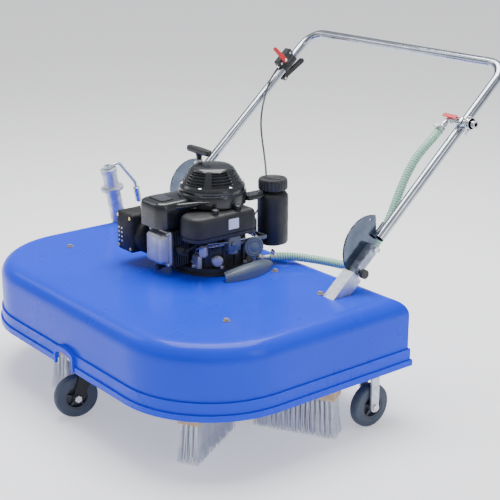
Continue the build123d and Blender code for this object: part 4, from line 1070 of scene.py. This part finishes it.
def wheel(body, x, y, turn):
    """A solid rubber tyre on a spoked plastic hub."""
    axis = Vector((math.cos(math.radians(turn)), -math.sin(math.radians(turn)), 0))
    middle = place(x, y, 62.5)
    bm = bmesh.new()
    turned(
        bm,
        (
            (36, -14.6),
            (50, -15),
            (53, -14.4),
            (55, -15),
            (58, -13.6),
            (61, -10.5),
            (62.3, -6),
            (62.5, 0),
            (62.3, 6),
            (61, 10.5),
            (58, 13.6),
            (55, 15),
            (53, 14.4),
            (50, 15),
            (36, 14.6),
            (35.5, 12),
            (35.5, -12),
        ),
        middle,
        axis,
        96,
        closed=True,
    )
    piece(f"{body}_rubber", bm, "tyre_grey", body, (f"{body}_tyre",), sharp=60)
    bm = bmesh.new()
    rim = ((35.8, -13.8), (35.8, 13.8), (31, 14), (30, 12), (30, -12), (31, -14))
    turned(bm, rim, middle, axis, 72, closed=True)
    turned(
        bm,
        ((6.3, -15), (12, -15), (13, -14), (13, 14), (12, 15), (6.3, 15)),
        middle,
        axis,
        48,
        closed=True,
    )
    turned(bm, ((6.3, -3), (31, -3), (31, 3), (6.3, 3)), middle, axis, 64, closed=True)
    _, side, other = basis(axis, UP)
    for step in range(5):
        angle = 2 * math.pi * step / 5
        outward = side * math.cos(angle) + other * math.sin(angle)
        layers(bm, 5, 24, (1.2, 1.2, 1.2, 1.2), ((12, 0), (31, 0)), middle, outward, outward.cross(axis))
    piece(f"{body}_spokes", bm, "hub_grey", body, (f"{body}_hub",), bevel=0.0006, segments=2)


def bristle_tufts(side_name, x, turn, body):
    """Straight bunches of bristles that open a little toward their tips."""
    bm = bmesh.new()
    for arm in range(BRUSH_ARMS):
        heading = math.radians(turn + 90 * arm)
        along = Vector((math.cos(heading), math.sin(heading), 0))
        across = UP.cross(along)
        for column in range(TUFT_COLUMNS):
            for row in range(TUFT_ROWS):
                root = place(x, 0, 113) + along * ((74 + 13.8 * column) / 1000) + across * (
                    (-21 + 14 * row) / 1000
                )
                lean = along * (0.010 * (column / 16) ** 2) + across * ((row - 1.5) * 0.0025)
                for strand in range(TUFT_STRANDS):
                    angle = 2.4 * strand
                    out = math.sqrt(strand / TUFT_STRANDS)
                    spot = along * math.cos(angle) + across * math.sin(angle)
                    top = root + spot * (out * 0.0035)
                    splay = spot * (out * random.uniform(0.0035, 0.008)) + lean
                    low = top + splay + Vector(
                        (random.uniform(-0.0016, 0.0016), random.uniform(-0.0016, 0.0016), 0)
                    )
                    low.z = random.uniform(0.0002, 0.0035)
                    middle = top.lerp(low, 0.55) - splay * 0.12
                    rings = []
                    for point, radius in ((top, 0.0013), (middle, 0.0013), (low, 0.0011)):
                        rings.append(
                            [
                                point + Vector((math.cos(2.094 * k), math.sin(2.094 * k), 0)) * radius
                                for k in range(3)
                            ]
                        )
                    loft(bm, rings)
    piece(f"{side_name}_bristle_tufts", bm, "bristle", body, (f"{side_name}_bristles",), sharp=80)


# ------------------------------------------------------------------ water line and fittings
def clamp(name, middle, direction, body):
    """A worm-drive clamp round the hose."""
    bm = bmesh.new()
    turned(bm, ((12.6, -5), (13.5, -5), (13.5, 5), (12.6, 5)), middle, direction, 48, closed=True)
    axis, side, other = basis(direction, UP)
    layers(bm, 11, 15, (1.5, 1.5, 1.5, 1.5), ((12.5, 0), (19, 0), (20, 1)), middle, side, axis)
    turned(bm, ((4.5, -12), (4.5, 12), (0.3, 12.5)), middle + side * 0.0165, other, 20)
    piece(name, bm, "bright_steel", body, bevel=0.0003, segments=1)


def valve_details():
    """The nuts on the water line and the quick coupling's lugs."""
    bm = bmesh.new()
    middle = on_handle(0, 455.4, 27)
    for x in (412, 448):
        hexagon(bm, Vector((x / 1000, middle.y, middle.z)), LEFT, 23, 8)
    turned(
        bm,
        ((16, 470), (17, 472), (17, 475), (15, 477), (15, 480), (17, 482), (17, 485), (15.5, 486)),
        Vector((0, middle.y, middle.z)),
        LEFT,
        48,
    )
    for sign in (-1, 1):
        spot = Vector((0.478, middle.y, middle.z))
        layers(bm, 12, 10, (3, 3, 3, 3), ((14, 0), (20, 0), (21, 1)), spot, UP * sign, LEFT)
    piece("valve_nuts", bm, "chrome", "handle_frame", bevel=0.0004, segments=2)


def control_details():
    """Screws on the throttle box, its cable ferrule and rivets on the stop lever."""
    bm = bmesh.new()
    for along in (527, 577):
        spot = on_handle(-421, along, 27)
        turned(bm, ((4, 0), (4, 1.6), (0.3, 1.8)), spot, LEFT, 20)
    turned(bm, ((4.5, -8), (4.5, 6), (3.2, 8)), on_handle(-428, 516.5, cable_gap + 2), UP_HANDLE, 24)
    hexagon(bm, on_handle(-415, 544, 27), LEFT, 10, 4)
    piece("control_screws", bm, "bright_steel", "handle_frame")
    bm = bmesh.new()
    for sign in (-1, 1):
        turned(
            bm,
            ((5, 0), (5, 2), (2, 3.2), (0.3, 3.3)),
            on_handle(-432 + 10 * sign, 508, -24),
            LEFT * sign,
            20,
        )
    piece("stop_lever_rivets", bm, "bright_steel", "handle_frame")


def hood_panel():
    """The raised rectangular pad on each side of the hood's top round its rear screws."""
    for sign in (-1, 1):
        bm = bmesh.new()
        outline = [(61, 283), (136, 318), (174, 278), (113, 245)]
        spots = [place(sign * x, y, HOOD_TOP) for x, y in outline]
        middle = sum(spots, Vector()) / 4
        rings = []
        for share, height in (
            (1.0, -0.0005), (1.0, 0.0012), (0.94, 0.0022), (0.86, 0.0022), (0.80, 0.0006)
        ):
            ring = []
            for a, b in zip(spots, spots[1:] + spots[:1]):
                for step in range(1, 8):
                    spot = a.lerp(b, step / 8)
                    ring.append(middle + (spot - middle) * share + UP * height)
            rings.append(ring)
        loft(bm, rings)
        piece(f"hood_pad_{'left' if sign > 0 else 'right'}", bm, "hood_blue", "chassis", sharp=60)


recoil_dome()
starter()
shroud()
air_cleaner()
valve_cover()
muffler()
fuel_tank()
engine_trim()
carburettor()
shield()
for wheel_body, (wheel_x, wheel_y, wheel_turn) in WHEELS.items():
    wheel(wheel_body, wheel_x, wheel_y, wheel_turn)
bristle_tufts("left", 274.5, -61, "left_rotor")
bristle_tufts("right", -274.5, 180 + 61 + 45, "right_rotor")
clamp("barb_clamp", barb_end + BARB * 0.010, BARB, "chassis")
clamp("tail_clamp", tail_end + TAIL * 0.010, TAIL, "handle_frame")
valve_details()
control_details()
hood_panel()

# ------------------------------------------------------------------ studio
floor_mesh = bpy.data.meshes.new("floor")
floor_mesh.from_pydata([(-40, -40, 0), (40, -40, 0), (40, 40, 0), (-40, 40, 0)], [], [(0, 1, 2, 3)])
floor = bpy.data.objects.new("floor", floor_mesh)
floor.location.z = -0.0006
scene.collection.objects.link(floor)
floor_finish = finish("floor", (0.94, 0.945, 0.96), 0.01, 0.6, (0.75, 0.85), 0.0, 40.0, 0.02)
floor_shader = floor_finish.node_tree.nodes["Principled BSDF"]
floor_shader.inputs["Emission Color"].default_value = (0.96, 0.97, 1.0, 1)
floor_shader.inputs["Emission Strength"].default_value = 0.5
floor_mesh.materials.append(floor_finish)

world = bpy.data.worlds.new("world")
world.use_nodes = True
sky = world.node_tree
sky_split = sky.nodes.new("ShaderNodeSeparateXYZ")
sky.links.new(sky.nodes.new("ShaderNodeTexCoord").outputs["Generated"], sky_split.inputs["Vector"])
sky_stops = (
    (0.0, (0.95, 0.96, 1.0)), (0.10, (0.95, 0.96, 1.0)), (0.28, (0.30, 0.33, 0.40)),
    (0.62, (1.0, 1.0, 1.0)),
)
sky.links.new(ramp(sky, sky_split.outputs["Z"], sky_stops), sky.nodes["Background"].inputs["Color"])
sky.nodes["Background"].inputs["Strength"].default_value = 0.62
scene.world = world


def area_light(name, spot, aim, size, power):
    """A soft rectangular light."""
    data = bpy.data.lights.new(name, "AREA")
    data.shape = "RECTANGLE"
    data.size, data.size_y = size
    data.energy = power
    obj = bpy.data.objects.new(name, data)
    scene.collection.objects.link(obj)
    obj.location = spot
    obj.rotation_euler = (Vector(aim) - Vector(spot)).to_track_quat("-Z", "Y").to_euler()


area_light("top_light", (-0.4, 0.3, 3.4), (0, 0, 0.3), (2.8, 2.2), 190)
area_light("left_light", (-2.8, -1.6, 2.6), (0, 0, 0.4), (1.2, 1.6), 14)
area_light("right_light", (3.0, 0.4, 1.8), (0, 0, 0.4), (0.8, 1.6), 12)
